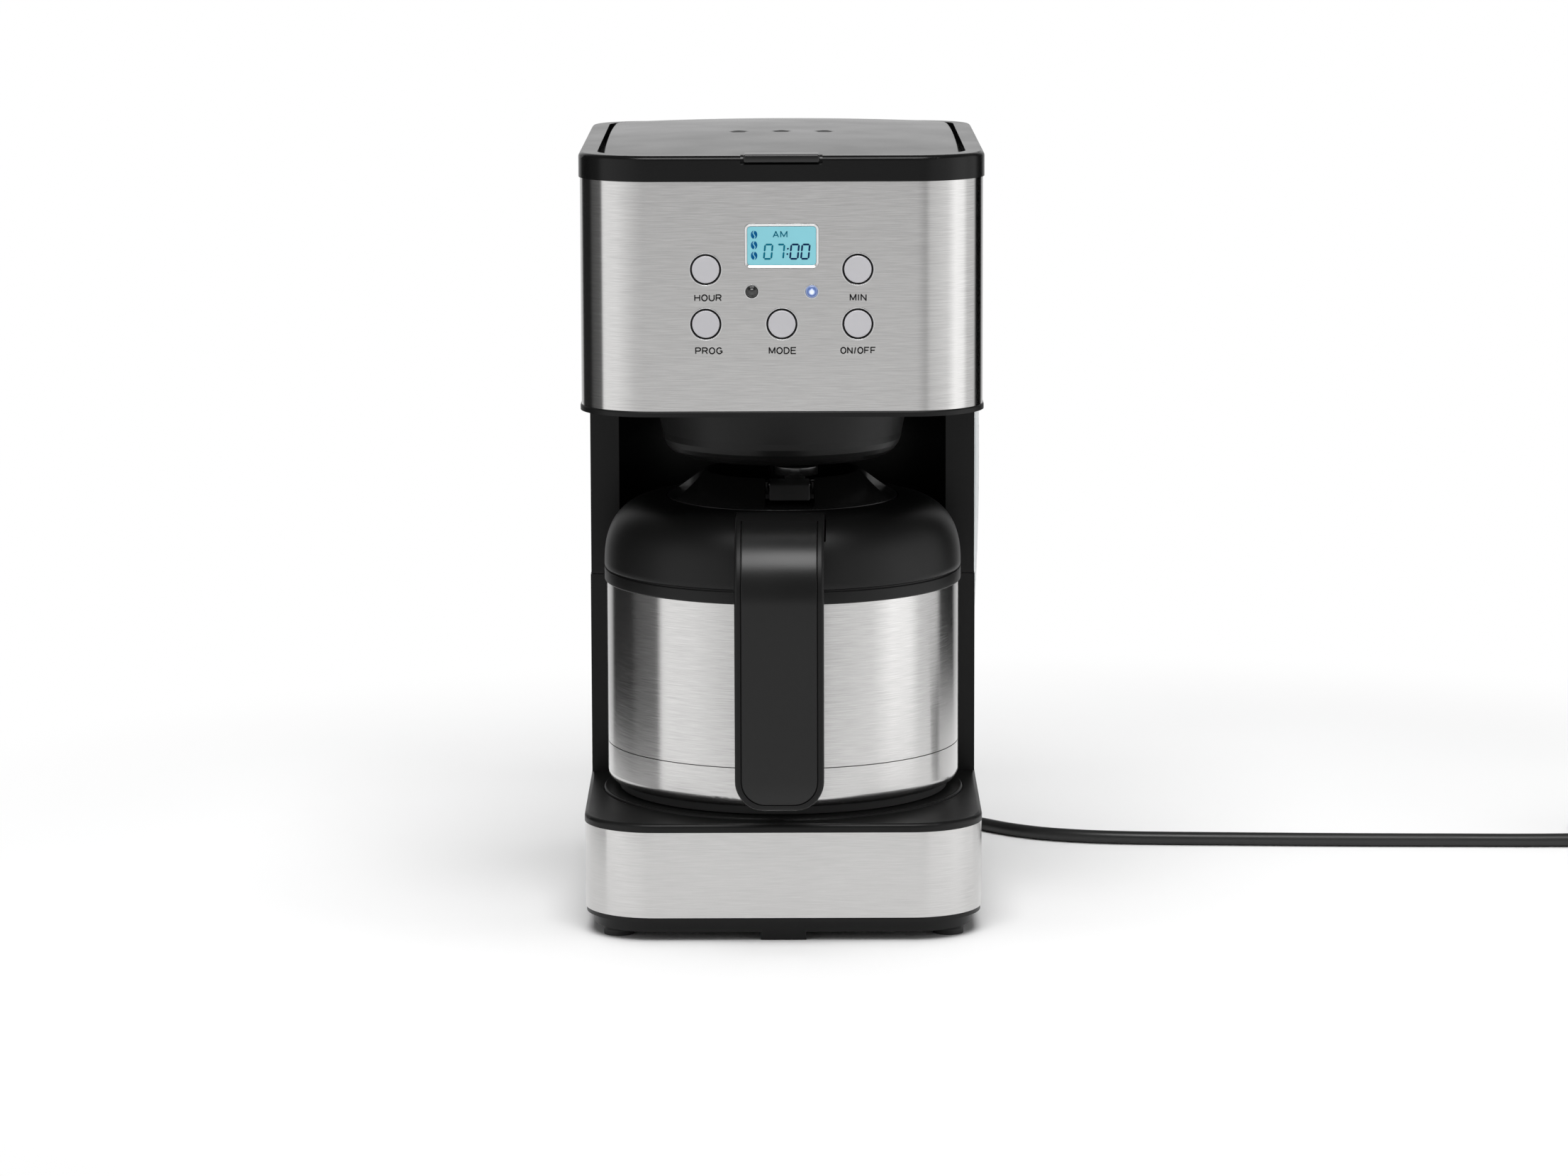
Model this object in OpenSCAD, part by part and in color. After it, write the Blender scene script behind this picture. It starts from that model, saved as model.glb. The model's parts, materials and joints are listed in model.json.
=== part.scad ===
// Drip coffee maker with a steel thermal jug.
// Millimetres, +Z up. The origin is the bottom centre of the machine and its jug, and the front faces -Y.

/* [Body] */
// Width across the steel sides
body_w = 182; // [180:1:188]
// Depth from the front panel to the rear wall
body_d = 245; // [245:1:252]
// Plan radius of the two front corners
front_r = 33; // [30:1:36]
// Plan radius of the two rear corners
rear_r = 26; // [24:1:28]

/* [Base] */
// Clear height under the bottom plate
foot_h = 4; // [3.5:0.5:6]
// Height of the steel skirt
skirt_h = 39.5; // [39:0.5:46]

/* [Head] */
// Height of the jug bay, from the deck to the head
bay_h = 186; // [186:1:192]
// Height of the steel front panel
panel_h = 103; // [102:1:108]
// Height of the black ring above the panel
ring_h = 11.5; // [11:0.5:12.5]

/* [Controls] */
// Radius of a round button cap
button_r = 6.1; // [5.6:0.1:6.1]
// Travel of a button
button_travel = 1; // [0.6:0.1:1]
// Distance from the middle column of controls to the outer ones
button_pitch = 34; // [32:1:36]

/* [Jug] */
// Outside radius of the steel jug
jug_r = 82; // [80:0.5:82]
// Height of the steel wall of the jug
jug_wall_h = 94; // [92:1:94]
// Width of the jug's handle
handle_w = 40; // [34:0.5:42]
// How far the handle's front stands in front of the body
handle_out = 29; // [27:1:31]

/* [Mains lead] */
// Diameter of the lead
cord_d = 6.4; // [6:0.1:6.8]

/* [Hidden] */
$fn = 96;

// Walls and clearances
steel_t = 0.8;
skin_gap = 0.1;
wall = 2.2;
big = 600;

// Plan
front_y = -(body_d + handle_out) / 2 + handle_out;
back_y = front_y + body_d;
side_x = body_w / 2;
wrap_y = back_y - rear_r - 6;
jug_y = front_y + 92;
bay_r = jug_r + 3;
column_y = front_y + 128;

// Levels
plate_z = foot_h;
skirt_z = plate_z + 7.5;
deck_z = skirt_z + skirt_h;
deck_top = deck_z + 4;
seam_z = deck_top + 95;
head_z = deck_top + bay_h;
panel_z = head_z + 2.6;
ring_z = panel_z + panel_h;
top_z = ring_z + ring_h;

// Feet and base screws
foot_r = 7;
foot_x = side_x - 15.5;
foot_front_y = front_y + 22;
foot_rear_y = back_y - 22;
screw_x = 52;
screw_r = 1.5;

// Controls, as [x, height]
row_hi = panel_z + 63.8;
row_lo = panel_z + 39.3;
HOUR_AT = [-button_pitch, row_hi];
MIN_AT = [button_pitch, row_hi];
PROG_AT = [-button_pitch, row_lo];
MODE_AT = [0, row_lo];
ON_OFF_AT = [button_pitch, row_lo];
BUTTONS = [HOUR_AT, MIN_AT, PROG_AT, MODE_AT, ON_OFF_AT];
LEDS = [[-13.4, panel_z + 53.8], [13.4, panel_z + 53.8]];
led_r = 2.6;
lcd_at = [0, panel_z + 74.3];
lcd_size = [33, 19.8];
lcd_frame = [2.1, 2.4];
sleeve_r = 6.9;
sleeve_bore_r = 6.55;
rim_t = 0.3;

// Tank and gauge
tank_x = 86;
tank_y0 = 79;
tank_y1 = back_y - 4;
tank_z = 92;
tank_t = 1.8;
gauge_y = 88;
gauge_w = 11;
gauge_z0 = 94;
gauge_z1 = head_z - 0.8;
gauge_peak_z = 197;
gauge_bulge = 4;
gauge_r = 1300;
outlet = [40, 100];

// Water path: the heater's legs, the riser and the swinging spout
heater_z = 37;
heater_r = 40;
leg_end_y = 30;
riser = [-heater_r, 71];
riser_r = 4;
pipe_r = 2.6;
bend_r = 15;

// Filter
bowl_z = head_z - 28.5;
bowl_mouth_r = 59.3;
bowl_floor = 2.4;
valve_r = 4.5;
valve_tip_z = bowl_z - 3;
basket_z = bowl_z + 14;

// Lid and its hinge
lid_inset = 10.3;
lid_z = ring_z + 4.4;
lid_peak = top_z + 2.4;
lid_peak_y = front_y + 122;
lid_curve_r = 2080;
lid_t = 2.2;
hinge_y = back_y - 6;
hinge_z = top_z - 5.6;
hinge_r = 3.3;
lid_rear_y = hinge_y - hinge_r - 0.6;
barrel_x = 58.5;
ear_w = 3.8;
pin_r = 1.5;
run_fit = 0.06;
ring_tilt = 0.6;
tab_w = 34;

// Jug, heights above the floor
stand_top = deck_top + 1.2;
jug_z = stand_top + 0.3;
cup_z = jug_z + 3.5;
cup_top = cup_z + 18.3;
shell_z = cup_top + 0.4;
shell_top = cup_z + jug_wall_h;
collar_r = jug_r + 1;
dome_z = shell_top + 7;
dome_h = 32;
dome_top = dome_z + dome_h;
neck_r = 39.5;
seat_r = 54.2;
dome_power = 2.5;

// Handle, as distances from the jug's axis and heights
handle_t = 13;
handle_r = 92 + handle_out;
handle_bend_r = 36;
handle_bend_z = dome_top - 33.5;
handle_top_r = 64;
handle_low_z = deck_top + 11.5;
handle_turn = -0.8;
handle_end_r = 13.5;
inlay_t = 1.5;
inlay_border = 2.6;
inlay_top_r = 93;

// Jug lid, as heights above its seat
lever_x0 = -5.9;
lever_x1 = 12.5;
lever_pivot_y = jug_y - 25;
lever_pivot_z = dome_top + 8;
lever_pin_r = 1.2;
cap_x = 6.4;
cap_r = 10.2;

// Mains lead: exit, route on the floor, coil and plug
exit_x = 0;
exit_z = 22;
exit_y = back_y + 23;
cord_r = cord_d / 2;
floor_z = 3.3;
ROUTE = [
    [0, 160, 22], [0, 167, 21.8], [1, 176, 20], [5, 186, 16.5], [13, 195, 12], [24, 200, 8],
    [36, 200, 5], [47, 195, 3.6], [57, 187, 3.3], [68, 176, 3.3], [84, 162, 3.3], [99, 148, 3.3],
    [112, 135, 3.3], [128, 124, 3.3], [147, 117, 3.3], [168, 113, 3.3], [191, 111, 3.3],
    [225, 109, 3.3], [260, 107, 3.3], [295, 105.5, 3.3], [330, 104.5, 3.3], [365, 103.5, 3.3],
    [400, 103, 3.6], [432, 103, 4]
];
coil_at = [432, 138];
coil_r = 35;
coil_z0 = 0.8;
plug_r = 18.8;
plug_at = [coil_at[0] + coil_r, coil_at[1] + 8, 19];
coil_z1 = plug_at[2] + cord_r;

// Plan outline of the body, moved inwards by u
module plan(u = 0) {
    x = side_x - u;
    fr = front_r - u;
    rr = rear_r - u;
    translate([-x, front_y + front_r]) square([2 * x, body_d - front_r - rear_r]);
    translate([-x + fr, front_y + u]) square([2 * (x - fr), fr]);
    translate([-x + rr, back_y - rear_r]) square([2 * (x - rr), rr]);
    for (s = [-1, 1]) {
        translate([s * (x - fr), front_y + front_r]) circle(fr);
        translate([s * (x - rr), back_y - rear_r]) circle(rr);
    }
}

// Plate with the body's outline
module slab(u, z0, z1) {
    translate([0, 0, z0]) linear_extrude(z1 - z0) plan(u);
}

// Upright wall that follows the body's outline
module rim(u0, u1, z0, z1) {
    difference() {
        slab(u0, z0, z1);
        slab(u1, z0 - 1, z1 + 1);
    }
}

// Everything behind a line across the body
module behind(y) {
    translate([-big / 2, y, -1]) cube([big, big, big]);
}

// Sweeps a profile round the body. In the profile, x is the distance inwards and y the height.
module around(closed = true) {
    side_len = (closed ? back_y - rear_r : wrap_y) - front_y - front_r;
    run(-side_x + front_r, front_y, 0, body_w - 2 * front_r) children();
    run(side_x, front_y + front_r, 90, side_len) children();
    run(-side_x, front_y + front_r + side_len, 270, side_len) children();
    corner(-side_x + front_r, front_y + front_r, 180, front_r) children();
    corner(side_x - front_r, front_y + front_r, 270, front_r) children();
    if (closed) {
        run(side_x - rear_r, back_y, 180, body_w - 2 * rear_r) children();
        corner(side_x - rear_r, back_y - rear_r, 0, rear_r) children();
        corner(-side_x + rear_r, back_y - rear_r, 90, rear_r) children();
    }
}

module run(x, y, turn, length) {
    translate([x, y, 0]) rotate([0, 0, turn]) rotate([90, 0, 90]) linear_extrude(length) children();
}

module corner(x, y, turn, r) {
    translate([x, y, 0]) rotate([0, 0, turn]) rotate_extrude(angle = 90)
        translate([r, 0]) mirror([1, 0]) children();
}

// Profile of a bar with a round outer top edge
module bar(u0, u1, z0, z1, r) {
    translate([u0, z0]) square([u1 - u0, z1 - z0 - r]);
    translate([u0 + r, z0]) square([u1 - u0 - r, z1 - z0]);
    translate([u0 + r, z1 - r]) circle(r);
}

// Cylinder along X, and along Y
module along_x(x0, x1, y, z, r) {
    translate([x0, y, z]) rotate([0, 90, 0]) cylinder(r = r, h = x1 - x0);
}

module along_y(x, y0, y1, z, r) {
    translate([x, y0, z]) rotate([-90, 0, 0]) cylinder(r = r, h = y1 - y0);
}

// Upright cylinder between two heights
module post(x, y, z0, z1, r) {
    translate([x, y, z0]) cylinder(r = r, h = z1 - z0);
}

// Box from its lowest to its highest corner
module block(low, high) {
    translate(low) cube(high - low);
}

// Box centred in X and Z on a control, from depth d0 to d1 behind the panel's face
module panel_block(at, size, d0, d1) {
    block([at[0] - size[0] / 2, front_y + d0, at[1] - size[1] / 2],
          [at[0] + size[0] / 2, front_y + d1, at[1] + size[1] / 2]);
}

// The display's outline with round corners, from depth d0 to d1 behind the panel's face
module round_panel(size, r, d0, d1) {
    x = size[0] / 2;
    z = size[1] / 2;
    translate([lcd_at[0], front_y + d1, lcd_at[1]]) rotate([90, 0, 0]) linear_extrude(d1 - d0) {
        translate([-x + r, -z]) square([2 * (x - r), 2 * z]);
        translate([-x, -z + r]) square([2 * x, 2 * (z - r)]);
        for (s = [-1, 1]) for (t = [-1, 1]) translate([s * (x - r), t * (z - r)]) circle(r);
    }
}

// Box with round upright corners
module round_block(x, y0, y1, z0, z1, r) {
    translate([0, 0, z0]) linear_extrude(z1 - z0) {
        translate([-x + r, y0]) square([2 * (x - r), y1 - y0]);
        translate([-x, y0 + r]) square([2 * x, y1 - y0 - 2 * r]);
        for (s = [-1, 1]) for (y = [y0 + r, y1 - r]) translate([s * (x - r), y]) circle(r);
    }
}

// Repeats something at the four places under the body where the feet and screws sit
module at_four(x) {
    for (s = [-1, 1]) for (y = [foot_front_y, foot_rear_y]) translate([s * x, y, 0]) children();
}

module bottom_plate() {
    color([0.09, 0.09, 0.095]) difference() {
        union() {
            slab(4.5, plate_z, skirt_z - 2);
            slab(0.5, skirt_z - 2.2, skirt_z);
            at_four(foot_x) post(0, 0, 2.5, skirt_z - 0.5, foot_r);
            block([-10.4, front_y + 5.5, 0.3], [10.4, front_y + 9.5, plate_z + 2]);
        }
        difference() {
            slab(7, plate_z + wall, skirt_z + 1);
            at_four(foot_x) post(0, 0, 0, skirt_z - 0.5, foot_r);
        }
        at_four(foot_x) post(0, 0, 0, 5.2, 3.1);
        at_four(screw_x) {
            post(0, 0, plate_z - 1, plate_z + 1, 3.2);
            post(0, 0, plate_z, plate_z + 4, screw_r + 0.2);
        }
    }
}

module rubber_feet() {
    color([0.05, 0.05, 0.05]) at_four(foot_x) {
        post(0, 0, 0, 2.5, foot_r - 0.1);
        post(0, 0, 2.4, 5, 3);
    }
}

module base_screws() {
    color([0.6, 0.6, 0.62]) at_four(screw_x) {
        post(0, 0, plate_z - 0.9, plate_z + 0.9, 2.9);
        post(0, 0, plate_z + 0.8, plate_z + 12, screw_r);
    }
}

module base_skirt() {
    color([0.72, 0.72, 0.71]) around(closed = false) translate([0, skirt_z]) square([steel_t, skirt_h]);
}

module base_deck() {
    inner = steel_t + skin_gap;
    color([0.1, 0.1, 0.105]) difference() {
        union() {
            around() bar(-0.2, 20, deck_z, deck_top, 1.8);
            slab(18, deck_z, deck_top);
            rim(inner, inner + wall, skirt_z, deck_z + 0.5);
            intersection() {
                rim(0, inner + wall, skirt_z, deck_z + 0.5);
                behind(wrap_y + skin_gap);
            }
            at_four(screw_x) post(0, 0, plate_z + wall, deck_z + 1, 4.2);
        }
        post(0, jug_y, deck_top - 1.8, deck_top + 1, jug_r + 2.3);
        post(riser[0], riser[1], deck_z - 1, deck_top + 1, 6.5);
        post(outlet[0], outlet[1], deck_z - 1, deck_top + 1, 6.5);
        along_y(exit_x, back_y - 8, back_y + 1, exit_z, 7.1);
        for (s = [-1, 1]) for (x = [30:5:60])
            block([s * x - 1, back_y - 5, skirt_z + 8], [s * x + 1, back_y + 1, deck_z - 8]);
        at_four(screw_x) post(0, 0, plate_z, plate_z + 16, screw_r + 0.05);
    }
}

module stand_plate() {
    r = jug_r + 2;
    color([0.12, 0.12, 0.125]) translate([0, jug_y, 0]) rotate_extrude() {
        translate([0, deck_top - 1.8]) square([r, 1.8]);
        translate([0, deck_top]) square([r - 1, 1.2]);
        translate([r - 1, deck_top]) circle(1);
    }
}

module heater() {
    color([0.75, 0.75, 0.74]) difference() {
        union() {
            translate([0, jug_y, heater_z]) rotate([0, 0, 180]) rotate_extrude(angle = 180) {
                translate([heater_r, 0]) circle(6);
                translate([heater_r - 3, -14]) square([6, 14]);
                translate([heater_r, -14]) circle(5);
            }
            for (s = [-1, 1]) {
                along_y(s * heater_r, jug_y, leg_end_y, heater_z, 6);
                block([s * heater_r - 3, jug_y, heater_z - 14], [s * heater_r + 3, leg_end_y, heater_z]);
                along_y(s * heater_r, jug_y, leg_end_y, heater_z - 14, 5);
                along_y(s * heater_r, leg_end_y - 1, leg_end_y + 12, heater_z, riser_r);
            }
            for (a = [210, 330])
                post(heater_r * cos(a), jug_y + heater_r * sin(a), plate_z + wall, heater_z - 14, 3);
        }
        for (s = [-1, 1]) along_y(s * heater_r, jug_y + 2, leg_end_y + 13, heater_z, pipe_r);
    }
}

module thermostat() {
    color([0.82, 0.8, 0.74]) {
        post(0, jug_y - heater_r, heater_z + 6.1, heater_z + 12, 8);
        block([-3, jug_y - heater_r - 1, heater_z + 12], [3, jug_y - heater_r + 1, heater_z + 13.6]);
    }
}

module thermal_fuse() {
    color([0.85, 0.83, 0.78]) along_y(heater_r + 9.2, jug_y, jug_y + 26, heater_z, 3);
}

module power_board() {
    color([0.15, 0.4, 0.25]) block([-34, 78, 14], [34, 122, 15.6]);
    color([0.1, 0.1, 0.12]) block([-28, 84, 15.6], [-8, 100, 31]);
    color([0.85, 0.7, 0.2]) block([2, 86, 15.6], [14, 100, 26]);
    color([0.2, 0.2, 0.22]) post(24, 104, 15.6, 32, 6);
    color([0.15, 0.15, 0.15]) for (s = [-1, 1]) post(s * 30, 82, plate_z + wall, 14, 2);
}

// Hose that runs back from a heater leg and turns up to a given height
module heater_hose(x, end_y, top) {
    difference() {
        hose_path(x, end_y, top, riser_r + 2);
        hose_path(x, end_y, top + 1, riser_r + 0.05);
    }
}

module hose_path(x, end_y, top, r) {
    along_y(x, leg_end_y + 2, end_y - bend_r, heater_z, r);
    translate([x, end_y - bend_r, heater_z + bend_r]) rotate([90, 0, 90]) rotate([0, 0, 270])
        rotate_extrude(angle = 90) translate([bend_r, 0]) circle(r);
    post(x, end_y, heater_z + bend_r, top, r);
}

module tank_hose() {
    color([0.85, 0.85, 0.82]) heater_hose(outlet[0], outlet[1], 70);
}

module riser_hose() {
    color([0.85, 0.85, 0.82]) heater_hose(riser[0], riser[1], ring_z - 4);
}

module check_valve() {
    color([0.9, 0.9, 0.88]) difference() {
        union() {
            post(outlet[0], outlet[1], 60, 88, riser_r);
            post(outlet[0], outlet[1], 72, 83, 6);
        }
        post(outlet[0], outlet[1], 59, 84.5, pipe_r);
        post(outlet[0], outlet[1], 84, 89, 3.4);
    }
}

// Plan of the tower: two columns joined behind a round recess for the jug
module tower_plan(u) {
    difference() {
        intersection() {
            plan(u);
            translate([-side_x, column_y + max(0, u - 0.6)]) square([body_w, body_d]);
        }
        translate([0, jug_y]) circle(bay_r + max(0, u - 0.6));
    }
}

module tower(u, z0, z1) {
    translate([0, 0, z0]) linear_extrude(z1 - z0) difference() {
        tower_plan(u);
        tower_plan(u + wall + 0.6);
    }
}

module gauge_slot() {
    block([side_x - 6, gauge_y - gauge_w / 2 - 0.2, gauge_z0 - 0.3],
          [side_x + 6, gauge_y + gauge_w / 2 + 0.2, gauge_z1 + 0.3]);
}

module housing_lower() {
    color([0.1, 0.1, 0.105]) difference() {
        union() {
            tower(0.2, deck_top, seam_z);
            translate([0, 0, tank_z - 4.5]) linear_extrude(2.4) tower_plan(1);
        }
        post(riser[0], riser[1], tank_z - 6, tank_z, 7);
        post(outlet[0], outlet[1], tank_z - 6, tank_z, 7);
        gauge_slot();
    }
}

module housing_upper() {
    color([0.1, 0.1, 0.105]) difference() {
        tower(0.5, seam_z + 0.3, head_z);
        gauge_slot();
    }
}

module water_tank() {
    color([0.78, 0.8, 0.8, 0.6]) difference() {
        union() {
            round_block(tank_x, tank_y0, tank_y1, tank_z, ring_z - 0.4, 20);
            post(outlet[0], outlet[1], 85, tank_z + 1, 3.3);
            for (y = [gauge_y - 6.5, gauge_y + 6.5])
                block([tank_x - 2, y - 0.8, 120], [tank_x + 1.4, y + 0.8, 190]);
        }
        round_block(tank_x - tank_t, tank_y0 + tank_t, tank_y1 - tank_t, tank_z + tank_t, ring_z + 1,
                    20 - tank_t);
        post(outlet[0], outlet[1], 84, tank_z + 3, 2.2);
        block([tank_x - 4, gauge_y - 4, 100], [tank_x + 2, gauge_y + 4, gauge_z1 - 8]);
    }
}

// Outer face of the gauge: a long shallow arc, inset by t
module gauge_form(t) {
    intersection() {
        block([tank_x + 0.1, gauge_y - gauge_w / 2 + t, gauge_z0 + t],
              [side_x + 8, gauge_y + gauge_w / 2 - t, gauge_z1 - t]);
        translate([side_x + gauge_bulge - gauge_r, gauge_y - 20, gauge_peak_z]) rotate([-90, 0, 0])
            cylinder(r = gauge_r - t, h = 40, $fn = 720);
    }
}

module gauge_window() {
    color([0.85, 0.9, 0.92, 0.4]) difference() {
        gauge_form(0);
        difference() {
            gauge_form(1.5);
            block([tank_x - 1, gauge_y - 20, 0], [tank_x + 0.1, gauge_y + 20, big]);
        }
        block([tank_x - 1, gauge_y - 4, gauge_z0 + 3], [tank_x + 1.8, gauge_y + 4, gauge_z1 - 3]);
    }
}

module head_frame() {
    inner = steel_t + skin_gap;
    color([0.1, 0.1, 0.105]) difference() {
        union() {
            around() bar(-0.5, 20, head_z, panel_z, 1);
            slab(18, head_z, panel_z);
            rim(inner, inner + wall, panel_z - 0.5, ring_z);
            intersection() {
                rim(0, inner + wall, panel_z - 0.5, ring_z);
                behind(wrap_y + skin_gap);
            }
        }
        post(0, jug_y, head_z - 1, panel_z + 1, bowl_mouth_r + 0.8);
        round_block(tank_x + 0.4, tank_y0 - 0.4, tank_y1 + 0.4, head_z - 1, panel_z + 1, 20);
        post(riser[0], riser[1], head_z - 1, panel_z + 1, 6.6);
        block([-53, front_y - 1, panel_z + 18], [53, front_y + 8, panel_z + 97]);
    }
}

module head_panel() {
    color([0.7, 0.7, 0.69]) difference() {
        around(closed = false) translate([0, panel_z]) square([steel_t, panel_h]);
        for (b = BUTTONS) along_y(b[0], front_y - 2, front_y + 3, b[1], sleeve_r + rim_t + 0.04);
        for (l = LEDS) along_y(l[0], front_y - 2, front_y + 3, l[1], led_r + rim_t + 0.14);
        round_panel(lcd_size + [0.2, 0.2], 2.6, -2, 3);
    }
}

// Leans the ring's top back and down towards the hinge
module lean() {
    translate([0, front_y, top_z]) rotate([-ring_tilt, 0, 0]) translate([0, -front_y, -top_z]) children();
}

module top_ring() {
    color([0.1, 0.1, 0.105]) difference() {
        union() {
            difference() {
                lean() around() bar(-0.6, 8, ring_z - 4, top_z, 2.2);
                slab(-5, ring_z - 20, ring_z);
                block([-tab_w / 2 - 1.3, front_y - 3, top_z - 3.9],
                      [tab_w / 2 + 1.3, front_y + 12, top_z + 5]);
                block([-barrel_x - ear_w - 0.4, hinge_y - 5.5, hinge_z - hinge_r - 0.9],
                      [barrel_x + ear_w + 0.4, back_y + 5, top_z + 5]);
            }
            slab(1, ring_z, ring_z + 2);
            for (s = [-1, 1]) {
                x0 = s > 0 ? barrel_x + 0.4 : -barrel_x - 0.4 - ear_w;
                along_x(x0, x0 + ear_w, hinge_y, hinge_z, hinge_r);
                block([x0, hinge_y - 4, ring_z], [x0 + ear_w, hinge_y + 4.6, hinge_z]);
            }
        }
        post(0, jug_y, ring_z - 1, ring_z + 3, 62.5);
        round_block(80, tank_y0 + 6, hinge_y - 9, ring_z - 1, ring_z + 3, 12);
        post(riser[0], riser[1], ring_z - 1, ring_z + 3, riser_r + run_fit);
        along_x(-barrel_x - 10, barrel_x + 10, hinge_y, hinge_z, pin_r + 0.02);
    }
}

module button_guide() {
    color([0.07, 0.07, 0.075]) difference() {
        union() {
            block([-51, front_y + 4, panel_z + 20], [51, front_y + 5.5, panel_z + 95]);
            for (b = BUTTONS) along_y(b[0], front_y + 0.3, front_y + 5, b[1], sleeve_r);
        }
        for (b = BUTTONS) along_y(b[0], front_y - 1, front_y + 7, b[1], sleeve_bore_r);
        for (l = LEDS) along_y(l[0], front_y - 1, front_y + 7, l[1], led_r + 0.6);
        panel_block(lcd_at, [37, 24], 0, 7);
    }
}

module control_board() {
    color([0.1, 0.35, 0.2]) block([-50, front_y + 12, panel_z + 22], [50, front_y + 13.6, panel_z + 93]);
    color([0.08, 0.08, 0.08]) block([-9, front_y + 13.6, panel_z + 58], [9, front_y + 15.6, panel_z + 70]);
    color([0.9, 0.9, 0.85]) block([-14, front_y + 13.6, panel_z + 26], [14, front_y + 20, panel_z + 32]);
}

module button_switches() {
    color([0.2, 0.2, 0.2]) for (b = BUTTONS) {
        panel_block(b, [6, 6], 9.9, 12);
    }
}

module button(at) {
    color([0.75, 0.74, 0.75]) translate([at[0], front_y, at[1]]) rotate([-90, 0, 0]) {
        rotate_extrude() {
            translate([0, -1.1]) square([button_r - 0.5, 0.6]);
            translate([0, -0.6]) square([button_r, 6.8]);
            translate([button_r - 0.5, -0.6]) circle(0.5);
        }
        translate([0, 0, 6]) cylinder(r = button_r + 1.4, h = 1.2);
        translate([0, 0, 7]) cylinder(r = 2, h = 2.6 - button_travel);
    }
}

module led(at, tint) {
    color(tint) translate([at[0], front_y, at[1]]) rotate([-90, 0, 0]) {
        difference() {
            sphere(led_r);
            translate([-5, -5, 0]) cube(10);
        }
        cylinder(r = led_r, h = 3);
        translate([0, 0, 2.9]) cylinder(r = 1.5, h = 9.1);
    }
}

module lcd_module() {
    color([0.2, 0.22, 0.25]) panel_block(lcd_at, [36, 23], 4.1, 11.8);
}

module lcd_bezel() {
    color([0.75, 0.77, 0.79]) difference() {
        round_panel(lcd_size, 2.5, -0.4, 4);
        round_panel(lcd_size - lcd_frame, 1.5, -2, 6);
    }
}

module lcd_window() {
    color([0.5, 0.8, 0.85]) round_panel(lcd_size - lcd_frame - [0.2, 0.2], 1.4, 0.1, 3.9);
}

// Bright ring round a control: a short tube in the panel's hole with a flange on its face
module control_rim(at, bore) {
    difference() {
        union() {
            along_y(at[0], front_y - rim_t, front_y, at[1], bore + 2 * rim_t);
            along_y(at[0], front_y - 0.1, front_y + 2, at[1], bore + rim_t);
        }
        along_y(at[0], front_y - 1, front_y + 3, at[1], bore);
    }
}

module control_rims() {
    color([0.78, 0.78, 0.79]) {
        for (b = BUTTONS) control_rim(b, sleeve_r + 0.02);
        for (l = LEDS) control_rim(l, led_r + 0.1);
    }
}

module filter_housing() {
    floor_r = 44.5;
    bend = 11;
    top_r = 61.8;
    color([0.1, 0.1, 0.105]) translate([0, jug_y, 0]) rotate_extrude() polygon(concat(
        [[valve_r + 0.5, bowl_z]],
        [for (a = [-90:15:0]) [floor_r + bend * cos(a), bowl_z + bend + bend * sin(a)]],
        [[bowl_mouth_r, head_z], [top_r, ring_z - 3], [66, ring_z - 3], [66, ring_z - 0.2],
         [top_r - 1.4, ring_z - 0.2], [bowl_mouth_r - wall, head_z]],
        [for (a = [0:-15:-90])
            [floor_r + (bend - wall) * cos(a), bowl_z + bend + (bend - bowl_floor) * sin(a)]],
        [[valve_r + 0.5, bowl_z + bowl_floor]]
    ));
}

module filter_basket() {
    r = 59.4;
    color([0.13, 0.13, 0.135]) translate([0, jug_y, 0]) {
        rotate_extrude() polygon([
            [6, basket_z], [30, basket_z], [54.2, ring_z - 10], [r, ring_z - 10], [r, ring_z - 8],
            [52.6, ring_z - 8], [29, basket_z + 1.8], [6, basket_z + 1.8]
        ]);
        for (s = [-1, 1]) block([s * 47 - 6, -2, ring_z - 8.5], [s * 47 + 6, 2, ring_z - 2]);
        for (a = [45:90:315]) rotate([0, 0, a]) block([52, -1.5, ring_z - 12], [58, 1.5, ring_z - 9]);
    }
}

module drip_valve() {
    color([0.2, 0.2, 0.21]) {
        post(0, jug_y, valve_tip_z, bowl_z + 5, valve_r - 0.3);
        post(0, jug_y, bowl_z + bowl_floor + 0.3, bowl_z + bowl_floor + 2.1, 9);
    }
}

// Points of a ring of n around a path point, for a tube whose path heads along d
function side_of(d) = let (a = abs(d[2]) > 0.95 ? [1, 0, 0] : [0, 0, 1], s = cross(d, a)) s / norm(s);
function ring_at(p, d, r, n) = let (s = side_of(d), t = cross(s, d))
    [for (i = [0:n - 1]) p + r * (cos(360 * i / n) * s + sin(360 * i / n) * t)];
function heading(path, i) =
    let (n = len(path), d = path[min(i + 1, n - 1)] - path[max(i - 1, 0)]) d / norm(d);
function tube_faces(rings, n) = concat(
    [[for (i = [0:n - 1]) i]],
    [for (k = [0:rings - 2]) for (i = [0:n - 1])
        [k * n + i, (k + 1) * n + i, (k + 1) * n + (i + 1) % n, k * n + (i + 1) % n]],
    [[for (i = [n - 1:-1:0]) (rings - 1) * n + i]]
);

// Tube swept along a path
module swept(path, r, n) {
    points = [for (i = [0:len(path) - 1]) each ring_at(path[i], heading(path, i), r, n)];
    polyhedron(points, tube_faces(len(path), n), convexity = 6);
}

module drip_spring() {
    turns = 3;
    steps = 12;
    low = bowl_z + bowl_floor + 2.9;
    rise = basket_z - low - 0.6;
    color([0.7, 0.7, 0.7]) swept([
        for (i = [0:turns * steps]) let (a = 360 * i / steps, t = i / (turns * steps))
            [7 * cos(a), jug_y + 7 * sin(a), low + rise * t]
    ], 0.45, 8);
}

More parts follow.
